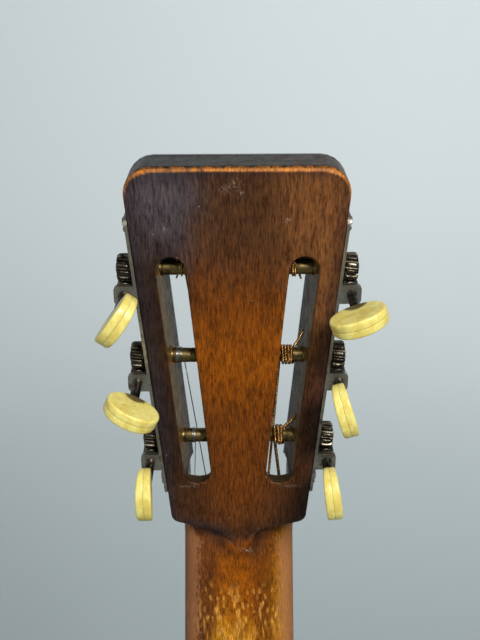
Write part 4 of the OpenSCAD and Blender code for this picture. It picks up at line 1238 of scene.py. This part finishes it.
def build_bridge_pins(material):
    """Six plain black pins with domed heads, standing in the bridge."""
    low, _ = box_mm("bridge_pins")
    for number, string in enumerate(STRINGS):
        base = np.array([(number - 2.5) * BRIDGE_SPACING, 0, PIN_Z])
        head = low[1]
        corners = [(head + 0.02, 0.1), (head + 0.05, 1.4), (head + 1.2, 2.5), (head + 2.3, 3.4),
                   (head + 3.3, 3.3), (head + 3.9, 2.6), (TOP_Y + 8, 2.35), (TOP_Y + 8.2, 0.2)]
        profile = rounded_profile(corners, 0.8, 4)
        vertices, faces = lathe(base, (0, 1, 0), (1, 0, 0), profile, 32)
        make_piece("bridge_pin_" + string, vertices, faces, material, nodes=["bridge_pins"],
                   slot="pin_plastic")


# ---- Putting it together ----

def build_guitar():
    dark = plain_wood("dark_wood", tint(74, 48, 34), tint(36, 23, 18), (0.6, 12, 24), 0.42, 0.0, 0.06)
    body = plain_wood("body_wood", tint(116, 62, 32), tint(58, 29, 18), (1.0, 30, 46), 0.3, 0.35, 0.03)
    inner = plain_wood("inner_wood", tint(204, 166, 116), tint(172, 128, 82), (0.8, 14, 40), 0.65, 0.0, 0.06)
    binding = moulded("binding", tint(226, 206, 156), tint(196, 168, 112), 0.32, 9.0)
    bone = moulded("bone", tint(228, 214, 182), tint(200, 178, 136), 0.3, 4.0, 0.35, 0.15)
    black = moulded("pin_plastic", tint(42, 40, 38), tint(24, 22, 21), 0.22, 5.0, 0.3)
    pearl = moulded("pearl", tint(226, 226, 216), tint(186, 196, 196), 0.22, 1.6, 0.1, 0.1)
    nickel = worn_metal("plate_metal", tint(186, 182, 170), tint(112, 100, 82), 0.55, 0.3, (1, 12, 12))
    screw = worn_metal("screw_metal", tint(196, 192, 180), tint(110, 98, 80), 0.45, 0.24, (4, 4, 1))
    fret = worn_metal("fret_metal", tint(206, 204, 194), tint(150, 142, 124), 0.3, 0.22, (18, 1, 1),
                      depth=0.01)
    brass = worn_metal("post_metal", tint(138, 120, 76), tint(70, 56, 32), 0.7, 0.34, (1, 10, 10))
    wheel = worn_metal("wheel_metal", tint(128, 120, 104), tint(46, 42, 37), 0.8, 0.22, (3, 3, 3), depth=0.03)
    worm = worn_metal("worm_metal", tint(108, 102, 92), tint(44, 40, 34), 0.85, 0.26, (8, 1, 8), depth=0.03)
    ivory = ivory_button()
    wire = wound_string("string_metal", tint(214, 166, 100), tint(120, 78, 42))

    build_neck()
    for string in STRINGS:
        build_button(string, ivory)
        build_worm(string, worm)
        build_wheel(string, wheel)
        build_wheel_screw(string, screw)
        build_post(string, brass)
        build_coil(string, wire)
        build_string(string, wire, ["strings"])
    build_soundboard(spruce())
    build_back(body)
    build_sides(body)
    build_bindings(binding)
    build_rosette(rosette_rings())
    build_end_pin(black)
    build_bridge_pins(black)

    soften("head_veneer", 0.35, lacquer(), 3)
    soften("fretboard", 0.3, dark)
    soften("bridge", 0.9, dark, 4)
    soften("saddle", 0.5, bone, 3)
    soften("nut", 0.35, bone, 3)
    soften("heel_cap", 0.5, binding, 3)
    soften("position_dots", 0.0, pearl)
    soften("frets", 0.25, fret)
    soften("plate_screws", 0.25, screw, 3)
    for node in ("bass_tuner_plate", "treble_tuner_plate"):
        soften(node, 0.28, nickel, 3)
    for node in ("linings", "soundboard_braces", "back_braces", "bridge_plate", "centre_strip", "neck_block",
                 "tail_block"):
        soften(node, 0.6, inner)


# ---- Floor, lights and camera ----

def build_floor():
    """A wide shallow bowl, so the floor runs up into the background without an edge."""
    level = cad_box[0][2] / MM - 3
    turn = np.linspace(0, 2 * math.pi, 96, endpoint=False)
    circle = np.stack([np.cos(turn), np.sin(turn), 0 * turn], axis=1)
    rows = [(r, 0.0) for r in (30, 600, 1400, 2400)]
    rows += [(2400 + 1800 * math.sin(a), 1800 * (1 - math.cos(a))) for a in np.linspace(0.1, math.pi / 2, 14)]
    rows += [(4200, 4200)]
    vertices = np.concatenate([circle * radius + [0, 0, level + rise] for radius, rise in rows])
    faces = grid_faces(len(rows), len(turn), wrap_columns=True).tolist()
    faces.append(list(range(len(turn)))[::-1])
    mesh = bpy.data.meshes.new("floor")
    mesh.from_pydata((vertices * MM).tolist(), [], faces)
    mesh.shade_smooth()
    mesh.materials.append(pale_floor())
    floor = bpy.data.objects.new("floor", mesh)
    bpy.context.scene.collection.objects.link(floor)
    floor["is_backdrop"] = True


def add_light(name, place, aim, size, power, colour):
    light = bpy.data.lights.new(name, "AREA")
    light.shape = "DISK"
    light.size = size
    light.energy = power
    light.color = colour
    lamp = bpy.data.objects.new(name, light)
    bpy.context.scene.collection.objects.link(lamp)
    lamp.location = place
    lamp.rotation_euler = (Vector(aim) - Vector(place)).to_track_quat("-Z", "Y").to_euler()


def build_lights():
    head = Vector(HEAD_O * MM)
    add_light("key", head + Vector((-0.42, 1.0, 0.62)), head, 0.36, 16.5, (1.0, 0.98, 0.95))
    add_light("fill", head + Vector((1.3, 1.6, 0.2)), head, 1.6, 9, (0.95, 0.98, 1.0))
    behind = head + Vector((-0.1, -4.2, 0.7))
    add_light("wall", head + Vector((-0.7, -1.0, 1.7)), behind, 2.2, 112, (0.98, 1.0, 1.0))
    world = bpy.data.worlds.new("world")
    world.use_nodes = True
    sky = world.node_tree.nodes["Background"]
    sky.inputs[0].default_value = (0.9, 0.94, 0.96, 1)
    sky.inputs[1].default_value = 0.2
    bpy.context.scene.world = world


def build_camera():
    """Behind the head and above it, looking down along the neck's back."""
    tilt, roll = math.radians(25.108), math.radians(-0.3)
    away, drop = 327.46, 12.84
    ahead = -math.cos(tilt) * HEAD_N - math.sin(tilt) * HEAD_U
    down = math.sin(tilt) * HEAD_N - math.cos(tilt) * HEAD_U
    place = HEAD_O - away * ahead - drop * down
    lens = bpy.data.cameras.new("camera")
    lens.lens = 49.5
    lens.sensor_width = 36
    lens.shift_x = 0.0036
    lens.clip_start = 0.01
    camera = bpy.data.objects.new("camera", lens)
    bpy.context.scene.collection.objects.link(camera)
    turn = Matrix((Vector((-1, 0, 0)), Vector(-down), Vector(-ahead))).transposed().to_4x4()
    turn = turn @ Matrix.Rotation(roll, 4, "Z")
    camera.matrix_world = Matrix.Translation(Vector(place * MM)) @ turn
    bpy.context.scene.camera = camera


build_guitar()
build_floor()
build_lights()
build_camera()
bpy.context.scene.view_settings.view_transform = "Standard"

visual_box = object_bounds()
boxes = {"cad": cad_box, "visual": visual_box}
{key: [list(map(float, corner)) for corner in box] for key, box in boxes.items()}
